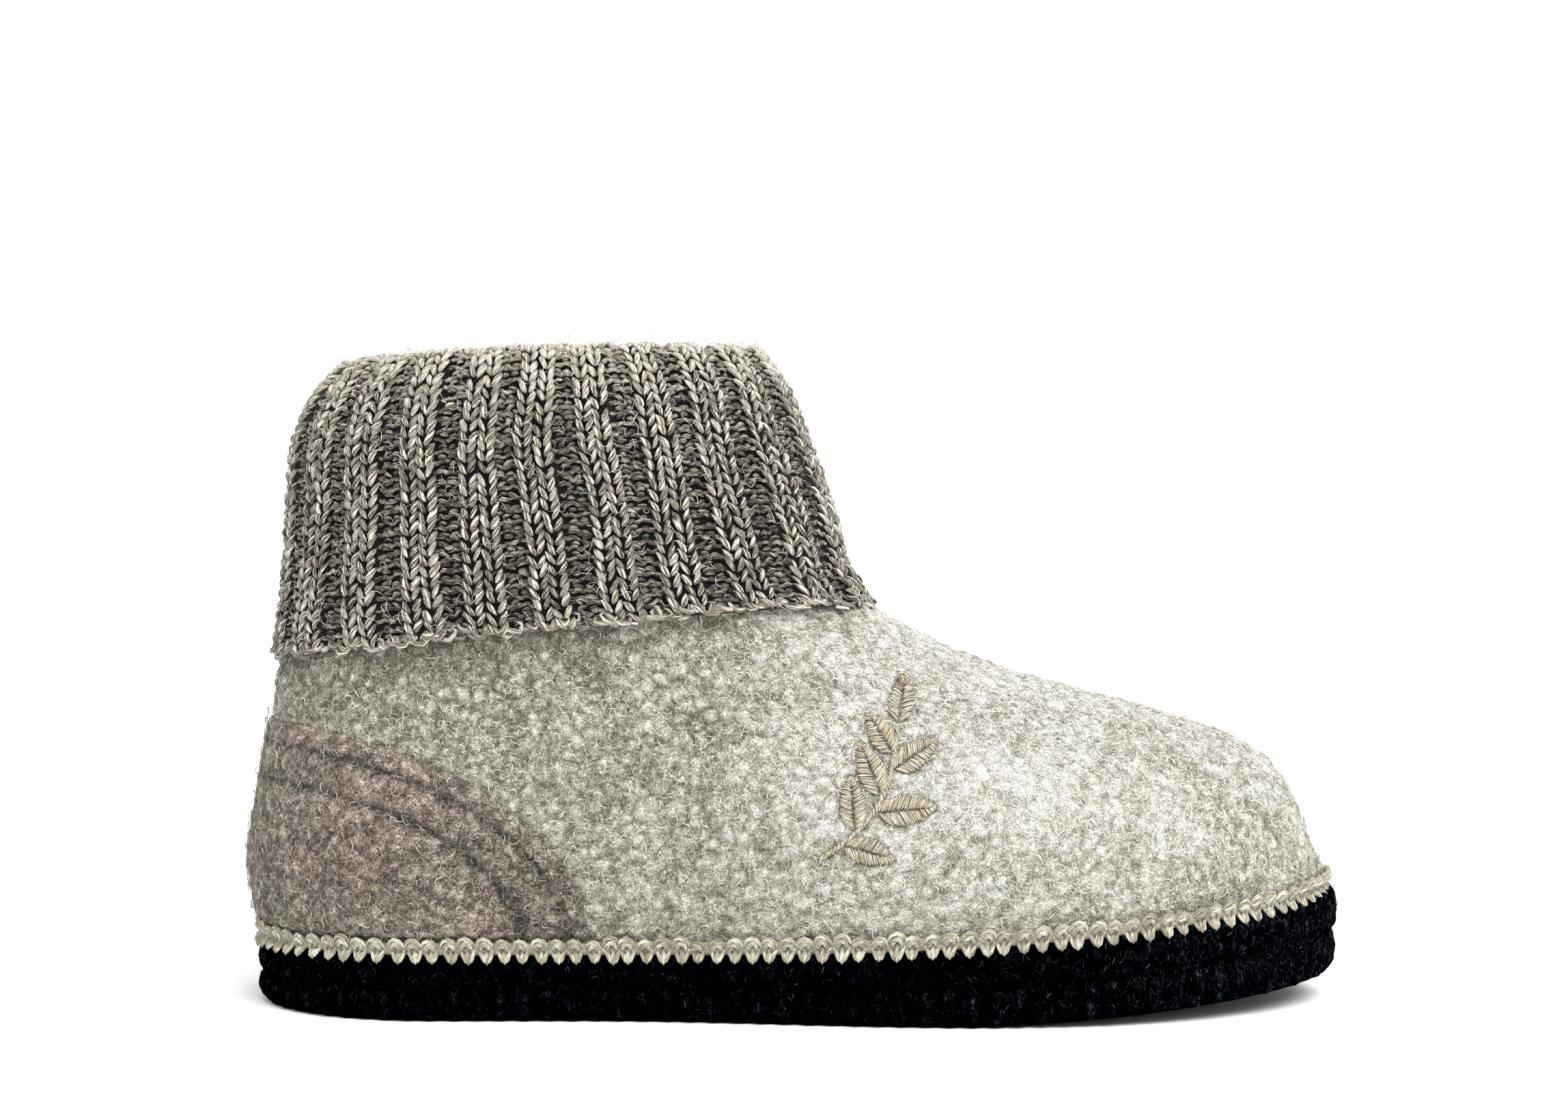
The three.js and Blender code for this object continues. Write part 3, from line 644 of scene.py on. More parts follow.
def scatter(points, normals, count, rng, weights=None):
    """Random places on a grid whose columns run round, even over its area."""
    following = (np.arange(points.shape[1]) + 1) % points.shape[1]
    corners = [points[:-1], points[:-1, following], points[1:, following], points[1:]]
    area = np.linalg.norm(np.cross(corners[2] - corners[0], corners[3] - corners[1]), axis=-1)
    if weights is not None:
        area = area * weights[:-1]
    pick = rng.choice(area.size, count, p=area.ravel() / area.sum())
    row, column = np.unravel_index(pick, area.shape)
    u, v = rng.random((2, count, 1))
    beside = following[column]
    place = mix(
        mix(points[row, column], points[row, beside], u), mix(points[row + 1, column], points[row + 1, beside], u), v)
    return place, normals[row, column]


def curls(places, normals, rng, length, curl, thickness, lift, steps=5, upright=False):
    """Curly fibres that lie on a surface: paths of points and their radii."""
    count = len(places)
    guide = rng.normal(size=(count, 3))
    if upright:
        guide = np.cross((0.0, 0.0, 1.0), normals) + 0.3 * guide
    east = unit(np.cross(normals, guide))
    north = np.cross(normals, east)
    stretch = rng.uniform(*length, count)
    bend = rng.uniform(*curl, count) * rng.choice([-1, 1], count)
    share = np.linspace(0, 1, steps)
    heading = bend[:, None] * share + rng.normal(0, 0.25, (count, steps))
    step = (stretch / (steps - 1))[:, None]
    along = np.cumsum(np.cos(heading) * step, axis=1)
    beside = np.cumsum(np.sin(heading) * step, axis=1)
    height = rng.uniform(*lift, (count, 1)) * np.sin(math.pi * share * 0.85) + rng.normal(0, 0.05, (count, steps))
    paths = places[:, None] + along[..., None] * east[:, None] + beside[..., None] * north[:, None]
    paths = paths + height[..., None] * normals[:, None]
    radii = rng.uniform(*thickness, (count, 1)) * np.sin(math.pi * (0.1 + 0.8 * share))
    return paths, radii


def fibre_piece(name, paths, radii, normals, material, tones, slot):
    points, quads, triangles, _, each = tubes(paths, radii, normals[:, None], 3)
    new_piece(name, points, quads, triangles, material, slot=slot, attributes={"tone": np.repeat(tones, each)})


CURL_COUNT = 10800


def make_upper_curls(points, normals):
    rng = np.random.default_rng(21)
    places, ups = scatter(points, normals, CURL_COUNT, rng, 1 - under_counter(points))
    paths, radii = curls(places, ups, rng, (2.2, 5.2), (1.8, 5.2), (0.06, 0.105), (0.1, 0.4))
    # the curls take on the upper's painted light and shade
    tones = np.clip(rng.normal(0.5, 0.25, CURL_COUNT) + 1.3 * painted_wool_light(places), 0, 1)
    fibre_piece("wool_curls", paths, radii, ups, WOOL_FIBRE, tones, "wool_upper")


# Heel counter

COUNTER_COLUMNS = 250
COUNTER_ROWS = 62
COUNTER_BACK_ROWS = 5
COUNTER_LOW_END = 3  # height of the counter's front corners above its lower edge
GROOVE_INSETS = ((6, 5.2), (16.5, 13.5))  # how much shorter and lower each stitched groove's curve is
GROOVE_WIDTH = 0.85
GROOVE_DEPTH = 1.0


def counter_rise(x, shorter=0, lower=0):
    share = np.clip((x - FEATHER_BACK) / (COUNTER_LENGTH - shorter), 0, 1)
    return (COUNTER_HEIGHT - lower) * np.sqrt(1 - share ** 2)


def ellipse_gap(x, rise, shorter, lower):
    """Roughly how far a point lies inside a quarter ellipse of the counter, in millimetres."""
    radius = np.hypot((x - FEATHER_BACK) / (COUNTER_LENGTH - shorter), rise / (COUNTER_HEIGHT - lower))
    return (1 - radius) * (COUNTER_HEIGHT - lower)


def under_counter(points):
    """1 well under the heel counter, 0 away from it."""
    x = points[..., 0]
    gap = ellipse_gap(x, points[..., 2] - sole_top(x), 0, 0)
    return np.clip(gap / 1.5, 0, 1)


def make_heel_counter():
    foot = SEAM_HEIGHT - 0.8
    corner_share = math.sqrt(1 - ((foot + COUNTER_LOW_END) / COUNTER_HEIGHT) ** 2)
    corner_x = COUNTER_LENGTH * corner_share
    widest = math.acos(1 - 2 * corner_x / FEATHER_LENGTH)
    turn = np.linspace(-1, 1, COUNTER_COLUMNS + 1)
    angles = np.mod(widest * np.sin(math.pi / 2 * turn), TURN)
    low = level_where(angles, lambda p: p[..., 2] >= sole_top(p[..., 0]) + foot)
    high = level_where(angles, lambda p: p[..., 2] >= sole_top(p[..., 0]) + counter_rise(p[..., 0]))
    levels = even_levels(angles, low, high, COUNTER_ROWS)
    face = loft(levels, angles)
    normals = level_normal(levels, angles)
    x, z = face[..., 0], face[..., 2]
    rise = z - sole_top(x)
    edge = np.clip(ellipse_gap(x, rise, 0, 0) / 3.5, 0, 1)
    lower_edge = np.clip((rise - foot + 0.5) / 1.5, 0, 1)
    lift = COUNTER_THICKNESS * np.sqrt(edge * (2 - edge)) * lower_edge
    from_back = np.clip((x - FEATHER_BACK) / 14, 0, 1)
    for shorter, lower in GROOVE_INSETS:
        gap = ellipse_gap(x, rise, shorter, lower)
        groove = 0.3 * np.exp(-((gap + 3) / 2) ** 2) - GROOVE_DEPTH * np.exp(-(gap / GROOVE_WIDTH) ** 2)
        lift = lift + groove * from_back
    relief, shade = wool_relief(face, 0.8)
    outer = face + normals * (CLEARANCE + np.maximum(lift - 0.15 + 0.6 * relief * edge, 0.12))[..., None]
    back_levels = even_levels(angles, low, high, COUNTER_BACK_ROWS)
    back = loft(back_levels, angles) + CLEARANCE * level_normal(back_levels, angles)
    rings = np.concatenate([outer, back[::-1]]).transpose(1, 0, 2)
    count = rings.shape[1]
    faces = grid_faces(count, len(rings), closed_rows=True)
    faces = faces[(faces[:, 0] % len(rings)) != len(rings) - 1]
    points = rings.transpose(1, 0, 2).reshape(-1, 3)
    columns = len(rings)
    middles = rings[[0, -1]].mean(axis=1)
    fans = []
    for column, middle in ((0, len(points)), (columns - 1, len(points) + 1)):
        row = np.arange(count)
        ring = np.stack([row * columns + column, ((row + 1) % count) * columns + column], axis=-1)
        fan = np.column_stack([ring, np.full(count, middle)])
        fans.append(fan if column == 0 else fan[:, ::-1])
    points = np.concatenate([points, middles])
    rises = points[:, 2] - sole_top(points[:, 0])
    # painted shade along the stitched grooves
    tones = 0.02 - 0.34 * sum(
        np.exp(-(ellipse_gap(points[:, 0], rises, *inset) / GROOVE_WIDTH) ** 2) for inset in GROOVE_INSETS)
    # painted shade in the hollows between the nubs
    tones[:shade.size] += 1.6 * shade.ravel()
    new_piece("heel_patch", points, faces, np.concatenate(fans), COUNTER_WOOL, "heel_counter",
              "wool_counter", {"tone": tones})
    return outer, normals


COUNTER_CURLS = 2300


def make_counter_curls(points, normals):
    rng = np.random.default_rng(33)
    weights = np.ones(points.shape[:2])
    weights[:, -1] = 0
    places, ups = scatter(points, normals, COUNTER_CURLS, rng, weights)
    paths, radii = curls(places, ups, rng, (2.2, 5.0), (1.4, 4.8), (0.07, 0.13), (0.1, 0.45))
    tones = np.clip(rng.normal(0.55, 0.25, COUNTER_CURLS), 0, 1)
    fibre_piece("counter_curls", paths, radii, ups, COUNTER_FIBRE, tones, "wool_counter")


# Sole

SOLE_COLUMNS = 720
# How far each row lies in from the edge, and its height, as shares of the layer's thickness
MIDSOLE_PROFILE = np.array([[0.16, 0], [0.03, 0.16], [0, 0.45], [0.04, 0.8], [0.19, 1]])
OUTSOLE_PROFILE = np.array([[0.52, 0], [0.24, 0.08], [0.07, 0.4], [0.06, 0.8], [0.17, 1]])
INSOLE_PROFILE = np.array([[0.1, 0], [0, 0.3], [0, 0.75], [0.23, 1]])
PROFILE_STEPS = 14
UNDERSIDE_STEPS = 24  # across the outsole's underside
PLAIN_STEPS = 4  # across faces that lie against another layer


def sole_edge(angles, inset):
    share = (1 - np.cos(angles)) / 2
    toe = np.maximum(share - 0.5, 0) * 2
    heel = np.maximum(0.5 - share, 0) * 2
    ledge = SIDE_LEDGE + (TOE_LEDGE - SIDE_LEDGE) * toe ** 4 + (HEEL_LEDGE - SIDE_LEDGE) * heel ** 4
    return loft(0, angles) + level_normal(np.zeros(len(angles)), angles) * (ledge - inset)[..., None]


def sole_split(x):
    share = OUTSOLE_THICKNESS / (OUTSOLE_THICKNESS + MIDSOLE_THICKNESS)
    return mix(sole_underside(x), sole_top(x) - CLEARANCE, share)


def capped(rings, height_of, steps_below=PLAIN_STEPS, steps_above=PLAIN_STEPS, relief=None):
    """A closed body from rings, with a grid across its lowest and its highest ring."""
    rows, columns = rings.shape[:2]
    half = columns // 2
    points = [rings.reshape(-1, 3)]
    quads = [grid_faces(rows, columns)]
    triangles = []
    offset = rows * columns
    for ring_row, up, steps in ((0, False, steps_below), (rows - 1, True, steps_above)):
        ring = rings[ring_row]
        shares = np.linspace(0, 1, steps + 1)[1:-1]
        inner = mix(ring[None, 1:half], ring[None, :half:-1], shares[:, None, None])
        inner[..., 2] = height_of(inner[..., 0], up)
        if relief is not None and not up:
            inner[..., 2] += relief(inner)
        points.append(inner.reshape(-1, 3))
        index = np.empty((steps + 1, half - 1), int)
        index[0] = ring_row * columns + np.arange(1, half)
        index[-1] = ring_row * columns + np.arange(columns - 1, half, -1)
        index[1:-1] = offset + np.arange(inner.shape[0] * inner.shape[1]).reshape(inner.shape[:2])
        offset += inner.shape[0] * inner.shape[1]
        grid = np.stack([index[:-1, :-1], index[:-1, 1:], index[1:, 1:], index[1:, :-1]], axis=-1).reshape(-1, 4)
        back_fan = np.stack([np.full(steps, ring_row * columns), index[:-1, 0], index[1:, 0]], axis=-1)
        front_fan = np.stack([np.full(steps, ring_row * columns + half), index[1:, -1], index[:-1, -1]], axis=-1)
        fans = np.concatenate([back_fan, front_fan])
        quads.append(grid if up else grid[:, ::-1])
        triangles.append(fans if up else fans[:, ::-1])
    return np.concatenate(points), np.concatenate(quads), np.concatenate(triangles)


def layer_rings(profile, thickness, angles, low_of, high_of, relief):
    steps = PROFILE_STEPS
    inset, share = rows_at(profile, np.linspace(0, len(profile) - 1, steps + 1))
    rings = []
    for row in range(steps + 1):
        edge = sole_edge(angles, np.full(len(angles), inset[row] * thickness))
        x = edge[:, 0]
        edge[:, 2] = mix(low_of(x), high_of(x), np.clip(share[row], 0, 1))
        rings.append(edge)
    rings = np.stack(rings)
    side = np.zeros(steps + 1)
    side[1:-1] = 1
    out = level_normal(np.zeros(len(angles)), angles)
    return rings + (relief(rings) * side[:, None])[..., None] * out


def sole_painted_light(points):
    """Painted light: more pale fibres show towards the toe, where the light falls on the sole."""
    return 0.3 * np.clip((points[:, 0] - 50) / 60, 0, 1)


def make_midsole():
    angles = even_angles(0, np.arange(SOLE_COLUMNS) / SOLE_COLUMNS)
    rings = layer_rings(
        MIDSOLE_PROFILE, MIDSOLE_THICKNESS, angles, lambda x: sole_split(x) + CLEARANCE, sole_top,
        lambda p: 0.25 * noise_at(p, 3.0, 2.2) + 0.2 * noise_at(p, 1.3, 6.1))
    body = capped(rings, lambda x, up: sole_top(x) if up else sole_split(x) + CLEARANCE)
    new_piece("felt_midsole", *body, SOLE_FELT, "midsole", "sole_felt", {"tone": sole_painted_light(body[0])})
    return rings


def make_outsole():
    angles = even_angles(0, np.arange(SOLE_COLUMNS) / SOLE_COLUMNS)
    edge = sole_edge(angles, np.zeros(SOLE_COLUMNS))
    length = travelled(np.concatenate([edge, edge[:1]]))
    nub_count = 2 * round(length[-1] / NUB_PITCH / 2)
    phase = TURN * nub_count * length[:-1] / length[-1]

    def side_relief(points):
        nub = 0.5 * np.cos(phase)
        return nub - 0.35 + 0.5 * noise_at(points, 2.8, 4.4) + 0.35 * noise_at(points, 1.3, 7.7)

    def under_relief(points):
        """Shallow dents between the nubs of the knitted underside, none below the floor."""
        x, y = points[..., 0], points[..., 1]
        return 0.3 - 0.3 * np.cos(TURN * x / NUB_PITCH) * np.cos(TURN * y / NUB_PITCH)

    rings = layer_rings(
        OUTSOLE_PROFILE, OUTSOLE_THICKNESS, angles, sole_underside, sole_split, side_relief)
    body = capped(
        rings, lambda x, up: sole_split(x) if up else sole_underside(x), UNDERSIDE_STEPS, relief=under_relief)
    tones = sole_painted_light(body[0])
    # painted highlight on each nub's crest, a little darker between the nubs
    tones[:rings.shape[0] * SOLE_COLUMNS] += np.tile(0.3 * np.clip(np.cos(phase), -0.3, 1), rings.shape[0])
    new_piece("knit_outsole", *body, SOLE_KNIT, "outsole", "sole_knit", {"tone": tones})
    return rings


LINT_COUNT = 2200
LINT_FLOOR = 0.15  # lowest height of a fibre's middle line


def make_sole_lint(rings):
    """Short bluish fibres and a few lint hairs on the side of the sole."""
    rng = np.random.default_rng(61)
    out = np.broadcast_to(unit(np.gradient(rings, axis=1)), rings.shape)
    normals = unit(np.cross(out, (0.0, 0.0, 1.0)))
    weights = 0.5 + np.clip((rings[1:-1, :, 0] - 40) / 60, 0, 1)
    places, ups = scatter(rings[1:-1], normals[1:-1], LINT_COUNT, rng, weights)
    paths, radii = curls(places, ups, rng, (0.9, 2.4), (0.3, 1.6), (0.03, 0.055), (0.1, 0.4), upright=True)
    paths[..., 2] = np.maximum(paths[..., 2], LINT_FLOOR)
    tones = np.clip(rng.gamma(1.4, 0.2, LINT_COUNT), 0, 1)
    fibre_piece("sole_lint", paths, radii, ups, SOLE_FIBRE, tones, "sole_knit")


def make_insole():
    angles = even_angles(0, np.arange(SOLE_COLUMNS // 2) / (SOLE_COLUMNS // 2))
    feather = loft(0, angles)
    out = level_normal(np.zeros(len(angles)), angles)
    rings = []
    for inset, share in INSOLE_PROFILE:
        ring = feather - out * (UPPER_WALL + 2 * CLEARANCE + inset * INSOLE_THICKNESS)
        ring[:, 2] = sole_top(ring[:, 0]) + CLEARANCE + share * INSOLE_THICKNESS
        rings.append(ring)
    low = lambda x: sole_top(x) + CLEARANCE
    body = capped(np.stack(rings), lambda x, up: low(x) + (INSOLE_THICKNESS if up else 0))
    new_piece("felt_insole", *body, INSOLE_FELT, "insole", "insole_felt")


# Yarn seam

STITCH_PITCH = 4.1
STITCH_YARN = 0.56  # radius
LOOP_DROP = 1.1  # how far the loops hang over the sole's edge


def make_seam():
    """Knots along the joint, each with a loop that hangs down over the sole's edge."""
    rng = np.random.default_rng(5)
    dense = even_angles(0, np.arange(2400) / 2400)
    length = travelled(loft(0, np.append(dense, dense[0])))
    count = round(length[-1] / STITCH_PITCH)
    share_of = lambda distance: np.mod(distance / length[-1], 1)

    def seam_points(distance, height, out):
        """Points at a distance round the boot, a height above the sole's top and out from the upper."""
        angle = even_angles(0, share_of(distance).ravel()).reshape(distance.shape)
        base = loft(0, angle)
        top = sole_top(base[..., 0])
        level = level_where(angle, lambda p: p[..., 2] >= top + np.maximum(height, 0.1))
        point = loft(level, angle) + level_normal(level, angle) * out[..., None]
        point[..., 2] = top + height
        return point, level_normal(level, angle)

    middle = (np.arange(count) + rng.normal(0, 0.06, count)) * length[-1] / count
    size = rng.normal(1, 0.07, count)
    parts = []
    place_rows = []
    tones = []

    def strand(across, height, out, radius, sides=6, flatness=1.0):
        distance = middle[:, None] + across * size[:, None]
        height = np.broadcast_to(height, distance.shape) * size[:, None]
        points, ups = seam_points(distance, height, np.broadcast_to(out, distance.shape))
        taper = np.sin(math.pi * np.linspace(0.14, 0.86, len(across))) ** 0.5
        made = tubes(points, radius * np.broadcast_to(taper, distance.shape), ups, sides, flatness)
        parts.append(made[:3])
        place_rows.append(made[3])
        tones.append(np.repeat(rng.normal(0, 0.09, count), made[4]))

    half = STITCH_PITCH / 2
    arch = np.linspace(0, 1, 7)
    # the round knot on top: two arches, one inside the other, and a strand that slants over them
    rise = np.sin(math.pi * arch)
    strand(half * -0.95 * np.cos(math.pi * arch) + 0.1, 1.3 + 3.0 * rise, 1.2 + 0.8 * rise, 0.62)
    strand(half * -0.5 * np.cos(math.pi * arch) + 0.15, 1.2 + 2.0 * rise, 1.7 + 0.8 * rise, 0.62)
    strand(half * mix(-0.75, 0.7, arch), mix(1.8, 3.4, arch) + 0.7 * rise, 1.7 + 0.9 * rise, 0.5)
    # strands down to the loop over the sole's edge
    drop = np.linspace(0, 1, 7)
    for side, offset, radius in ((-0.8, 0.0, STITCH_YARN), (0.05, 0.3, 0.66), (0.85, 0.0, STITCH_YARN)):
        across = side * half * (1 - 0.9 * drop ** 1.2) + 0.3 * drop
        height = mix(2.5, -LOOP_DROP - offset, drop)
        out = 1.7 + (SIDE_LEDGE - 1.1) * np.clip((1.2 - height) / 1.4, 0, 1)
        strand(across, height, out, radius)
    base_angles = even_angles(0, np.arange(480) / 480)
    profile = [(0.1, 0.5), (1.5, 0.4), (1.8, 1.3), (1.3, 2.8), (0.2, 3.3)]
    rings = []
    for out, height in profile:
        base = loft(0, base_angles)
        top = sole_top(base[:, 0])
        level = level_where(base_angles, lambda p: p[..., 2] >= top + height)
        ring = loft(level, base_angles) + level_normal(level, base_angles) * (out + CLEARANCE)
        ring[:, 2] = top + height + CLEARANCE
        rings.append(ring)
    rings = np.stack(rings)
    parts.append((rings, grid_faces(len(rings), 480, closed_rows=True)[:, ::-1], no_triangles()))
    place_rows.append(np.tile((1.0, 0.0, 0.5), (rings.shape[0] * 480, 1)))
    # the ring behind the knots is a little darker than the strands, as painted shade behind them
    tones.append(np.full(rings.shape[0] * 480, -0.05))
    points, quads, triangles = joined(parts)
    new_piece("yarn_seam", points, quads, triangles, SEAM_YARN, "edge_seam", "seam_yarn",
              {"tone": np.concatenate(tones), "strand": np.concatenate(place_rows)})


# Rib-knit cuff

SHEET_COLUMNS = CUFF_RIBS * 24
SHEET_STEP = 0.5
ROW_PITCH = 2.5
ROW_LIMIT = 70
RIB_FACE = CUFF_SLIT + CUFF_OUTER_WALL
HEM_THINNING = 0.27  # how much thinner the cuff is at its hem, and at the hem's front
FRONT_THINNING = 0.6
HEM_SPREAD = 3.5
FRONT_DIP = 1.5  # how much lower the hem hangs at the front
FRONT_FULLNESS = 1.1  # how far the knit stands out at the front, above its hem


class KnitSheet:
    """The cuff's visible face as one sheet: from the hem up outside, over the fold and down inside."""

    def __init__(self):
        shares = np.arange(SHEET_COLUMNS) / SHEET_COLUMNS
        side_level = float(hem_level(np.array([math.pi / 2]), CUFF_OVERLAP)[0])
        self.side_level = side_level
        angles = even_angles(side_level, shares)
        self.angles = angles
        front = np.clip((1 - np.cos(angles)) / 0.2 - 9, 0, 1)
        self.thinning = mix(HEM_THINNING, FRONT_THINNING, front)
        self.hems = hem_level(angles, -FRONT_DIP * front)
        fuller = FRONT_FULLNESS * np.clip((1 - np.cos(angles)) / 0.5 - 3, 0, 1)
        self.seats = hem_level(angles, CUFF_OVERLAP + CLEARANCE)
        outside = mix(self.hems, TOP_LEVEL, np.linspace(0, 1, 70)[:, None])
        out_normals = loft_normal(outside, angles)
        from_hem = travelled(loft(outside, angles))
        thinned = RIB_FACE * (1 - self.thinning * np.exp(-from_hem / HEM_SPREAD))
        thinned = thinned + fuller * (1 - np.exp(-from_hem / 8))
        out_points = loft(outside, angles) + out_normals * thinned[..., None]
        top = loft(np.full(SHEET_COLUMNS, float(TOP_LEVEL)), angles)
        out = loft_normal(np.full(SHEET_COLUMNS, float(TOP_LEVEL)), angles)
        up = unit(top - loft(np.full(SHEET_COLUMNS, TOP_LEVEL - NORMAL_STEP), angles))
        turn = np.linspace(0, math.pi, 15)[1:-1, None, None]
        centre = top + out * (RIB_FACE - CUFF_INNER_WALL) / 2
        fold_normals = out * np.cos(turn) + up * np.sin(turn)
        fold_points = centre + FOLD_RADIUS * fold_normals
        fold_points = fold_points + (fuller * (1 + np.cos(turn[..., 0])) / 2)[..., None] * out
        inside = mix(TOP_LEVEL, self.seats, np.linspace(0, 1, 50)[:, None])
        in_normals = -loft_normal(inside, angles)
        in_points = loft(inside, angles) + in_normals * CUFF_INNER_WALL
        points = np.concatenate([out_points, fold_points, in_points])
        normals = np.concatenate([out_normals, fold_normals, in_normals])
        length = travelled(points)
        self.lengths = length[-1]
        self.fold_starts = length[69]
        wanted = np.arange(0, self.lengths.max() + SHEET_STEP, SHEET_STEP)
        self.points = np.empty((len(wanted), SHEET_COLUMNS, 3))
        self.normals = np.empty_like(self.points)
        for column in range(SHEET_COLUMNS):
            for axis in range(3):
                self.points[:, column, axis] = np.interp(wanted, length[:, column], points[:, column, axis])
                self.normals[:, column, axis] = np.interp(wanted, length[:, column], normals[:, column, axis])

    def at(self, share, distance):
        """Points and normals at shares round the cuff and distances up from the hem."""
        column = np.mod(share, 1) * SHEET_COLUMNS
        row = np.clip(distance / SHEET_STEP, 0, len(self.points) - 1.001)
        left, low = np.floor(column).astype(int) % SHEET_COLUMNS, np.floor(row).astype(int)
        right, high = (left + 1) % SHEET_COLUMNS, low + 1
        across, above = (column - np.floor(column))[..., None], (row - low)[..., None]
        below_hem = np.minimum(distance, 0)[..., None]
        values = []
        for grid in (self.points, self.normals):
            values.append(mix(
                mix(grid[low, left], grid[low, right], across),
                mix(grid[high, left], grid[high, right], across), above))
        up = unit(self.points[4, left] - self.points[0, left])
        return values[0] + up * below_hem, unit(values[1])

    def round_cuff(self, values, share):
        """Values of the columns at shares round the cuff."""
        return np.interp(np.mod(share, 1), np.arange(SHEET_COLUMNS + 1) / SHEET_COLUMNS, np.append(values, values[0]))

    def fold_at(self, share):
        return self.round_cuff(self.fold_starts, share)

    def length_at(self, share):
        return self.round_cuff(self.lengths, share)


def rib_wobble(share, distance, rng_phase):
    """Small sideways drift of the ribs, as a share of their pitch."""
    return 0.035 * np.sin(distance / 17 + rng_phase + 40 * share) + 0.02 * np.sin(distance / 7 + 2 * rng_phase)


def knit_strands(sheet, share, distance, across, along, lift, radii, sides, flatness, rng):
    """Short strands on the sheet: each has its place and the same path of small steps."""
    count, steps = len(share), along.shape[-1]
    rows = distance[:, None] + along
    shares = share[:, None] + across / CUFF_RIBS
    points, normals = sheet.at(shares, rows)
    paths = points + normals * lift[..., None]
    return tubes(paths, np.broadcast_to(radii, (count, steps)), normals, sides, flatness)


LEG_STEPS = 6


def rim_tone_and_light(sheet, share, distance):
    """Lighter towards the rim, where the cuff folds over: partly the yarn's own lighter tone, partly painted light from
    above.
    """
    to_fold = np.abs(sheet.fold_at(share) + FOLD_RADIUS - distance)
    return 0.36 * np.clip(1 - to_fold / 22, 0, 1)


def knit_legs(sheet, rng, first_of, end_of, sides, steps=LEG_STEPS, thick=1.0):
    """Legs of the knit stitches on the raised ribs, from a row upwards."""
    shares_along = np.linspace(0, 1, steps)
    rib, wale, side, row = (grid.ravel() for grid in np.meshgrid(
        np.arange(CUFF_RIBS), (-0.153, 0.153), (-1, 1), np.arange(ROW_LIMIT), indexing="ij"))
    share = (rib + 0.5 + wale) / CUFF_RIBS
    distance = row * ROW_PITCH
    keep = (distance < end_of(share)) & (distance >= first_of(share))
    share, distance, side, rib = share[keep], distance[keep], side[keep], rib[keep]
    count = len(share)
    wander = rib_wobble(share, distance, rib * 2.4)
    bottom = 0.01 + rng.normal(0, 0.009, count)
    top = 0.15 + rng.normal(0, 0.013, count)
    across = side[:, None] * mix(bottom[:, None], top[:, None], shares_along ** 0.9) + wander[:, None]
    reach = ROW_PITCH * (1.52 + rng.normal(0, 0.12, count))
    along = -0.3 * ROW_PITCH + reach[:, None] * shares_along + rng.normal(0, 0.22, count)[:, None]
    bulge = np.sin(math.pi * np.clip(shares_along, 0.02, 0.98) ** 0.8) ** 0.8
    lift = -1.9 + 1.35 * bulge + rng.normal(0, 0.16, count)[:, None]
    radii = 0.76 * np.sin(math.pi * (0.05 + 0.88 * shares_along ** 0.9)) ** 0.75 * thick
    radii = radii * rng.normal(1, 0.1, (count, 1))
    made = knit_strands(sheet, share, distance, across, along, lift, radii, sides, 0.82, rng)
    return made, rng.normal(0, 0.07, count) + rim_tone_and_light(sheet, share, distance)


# Middles of the arcs across a valley, as shares of the rib's pitch and of the row's
PURL_PLACES = np.array([[-0.1, 0], [0.1, 0], [-0.2, 0.5], [0, 0.5], [0.2, 0.5], [-0.08, 0.6], [0.09, 0.45]])
INNER_PURL_PLACES = np.array([[-0.1, 0.1], [0.1, 0.6]])


def purl_bumps(sheet, rng, first_of, end_of, centres, reach, sides, steps=5):
    """Short arcs across the valleys between the ribs."""
    shares_along = np.linspace(0, 1, steps)
    rib, kind, row = (grid.ravel() for grid in np.meshgrid(
        np.arange(CUFF_RIBS), np.arange(len(centres)), np.arange(ROW_LIMIT), indexing="ij"))
    share = (rib + centres[kind, 0]) / CUFF_RIBS
    distance = (row + centres[kind, 1]) * ROW_PITCH
    keep = (distance < end_of(share)) & (distance >= first_of(share))
    share, distance, kind, rib = share[keep], distance[keep], kind[keep], rib[keep]
    count = len(share)
    half = reach + rng.normal(0, 0.02, (count, 1))
    across = half * (2 * shares_along - 1) + rib_wobble(share, distance, rib * 2.4)[:, None]
    bow = np.where(kind < 2, 1, np.where(kind < 5, -1, 0.6))[:, None] * np.sin(math.pi * shares_along) * 0.75
    along = bow + rng.normal(0, 0.24, (count, 1)) + rng.normal(0, 0.4, (count, 1)) * (2 * shares_along - 1)
    lift = -RIB_DEPTH - 1.35 + 0.95 * np.sin(math.pi * shares_along) + rng.normal(0, 0.22, (count, 1))
    radii = 0.52 * np.sin(math.pi * (0.1 + 0.8 * shares_along)) ** 0.6 * rng.normal(1, 0.1, (count, 1))
    made = knit_strands(sheet, share, distance, across, along, lift, radii, sides, 0.85, rng)
    return made, rng.normal(0, 0.12, count) + rim_tone_and_light(sheet, share, distance)


def strand_piece(name, made, tones, material, slot):
    points, quads, triangles, place, each = made
    new_piece(name, points, quads, triangles, material, slot=slot,
              attributes={"tone": np.repeat(tones, each), "strand": place})


SHEET_ROWS = 56
GAP_PAINTED_SHADE = -0.7  # painted shade of the wall between the stitches
INSIDE_TONE = -0.25  # of the wall deep inside, where the valleys have no stitches
TURNED_IN = 14  # how far past the fold the finer stitches go


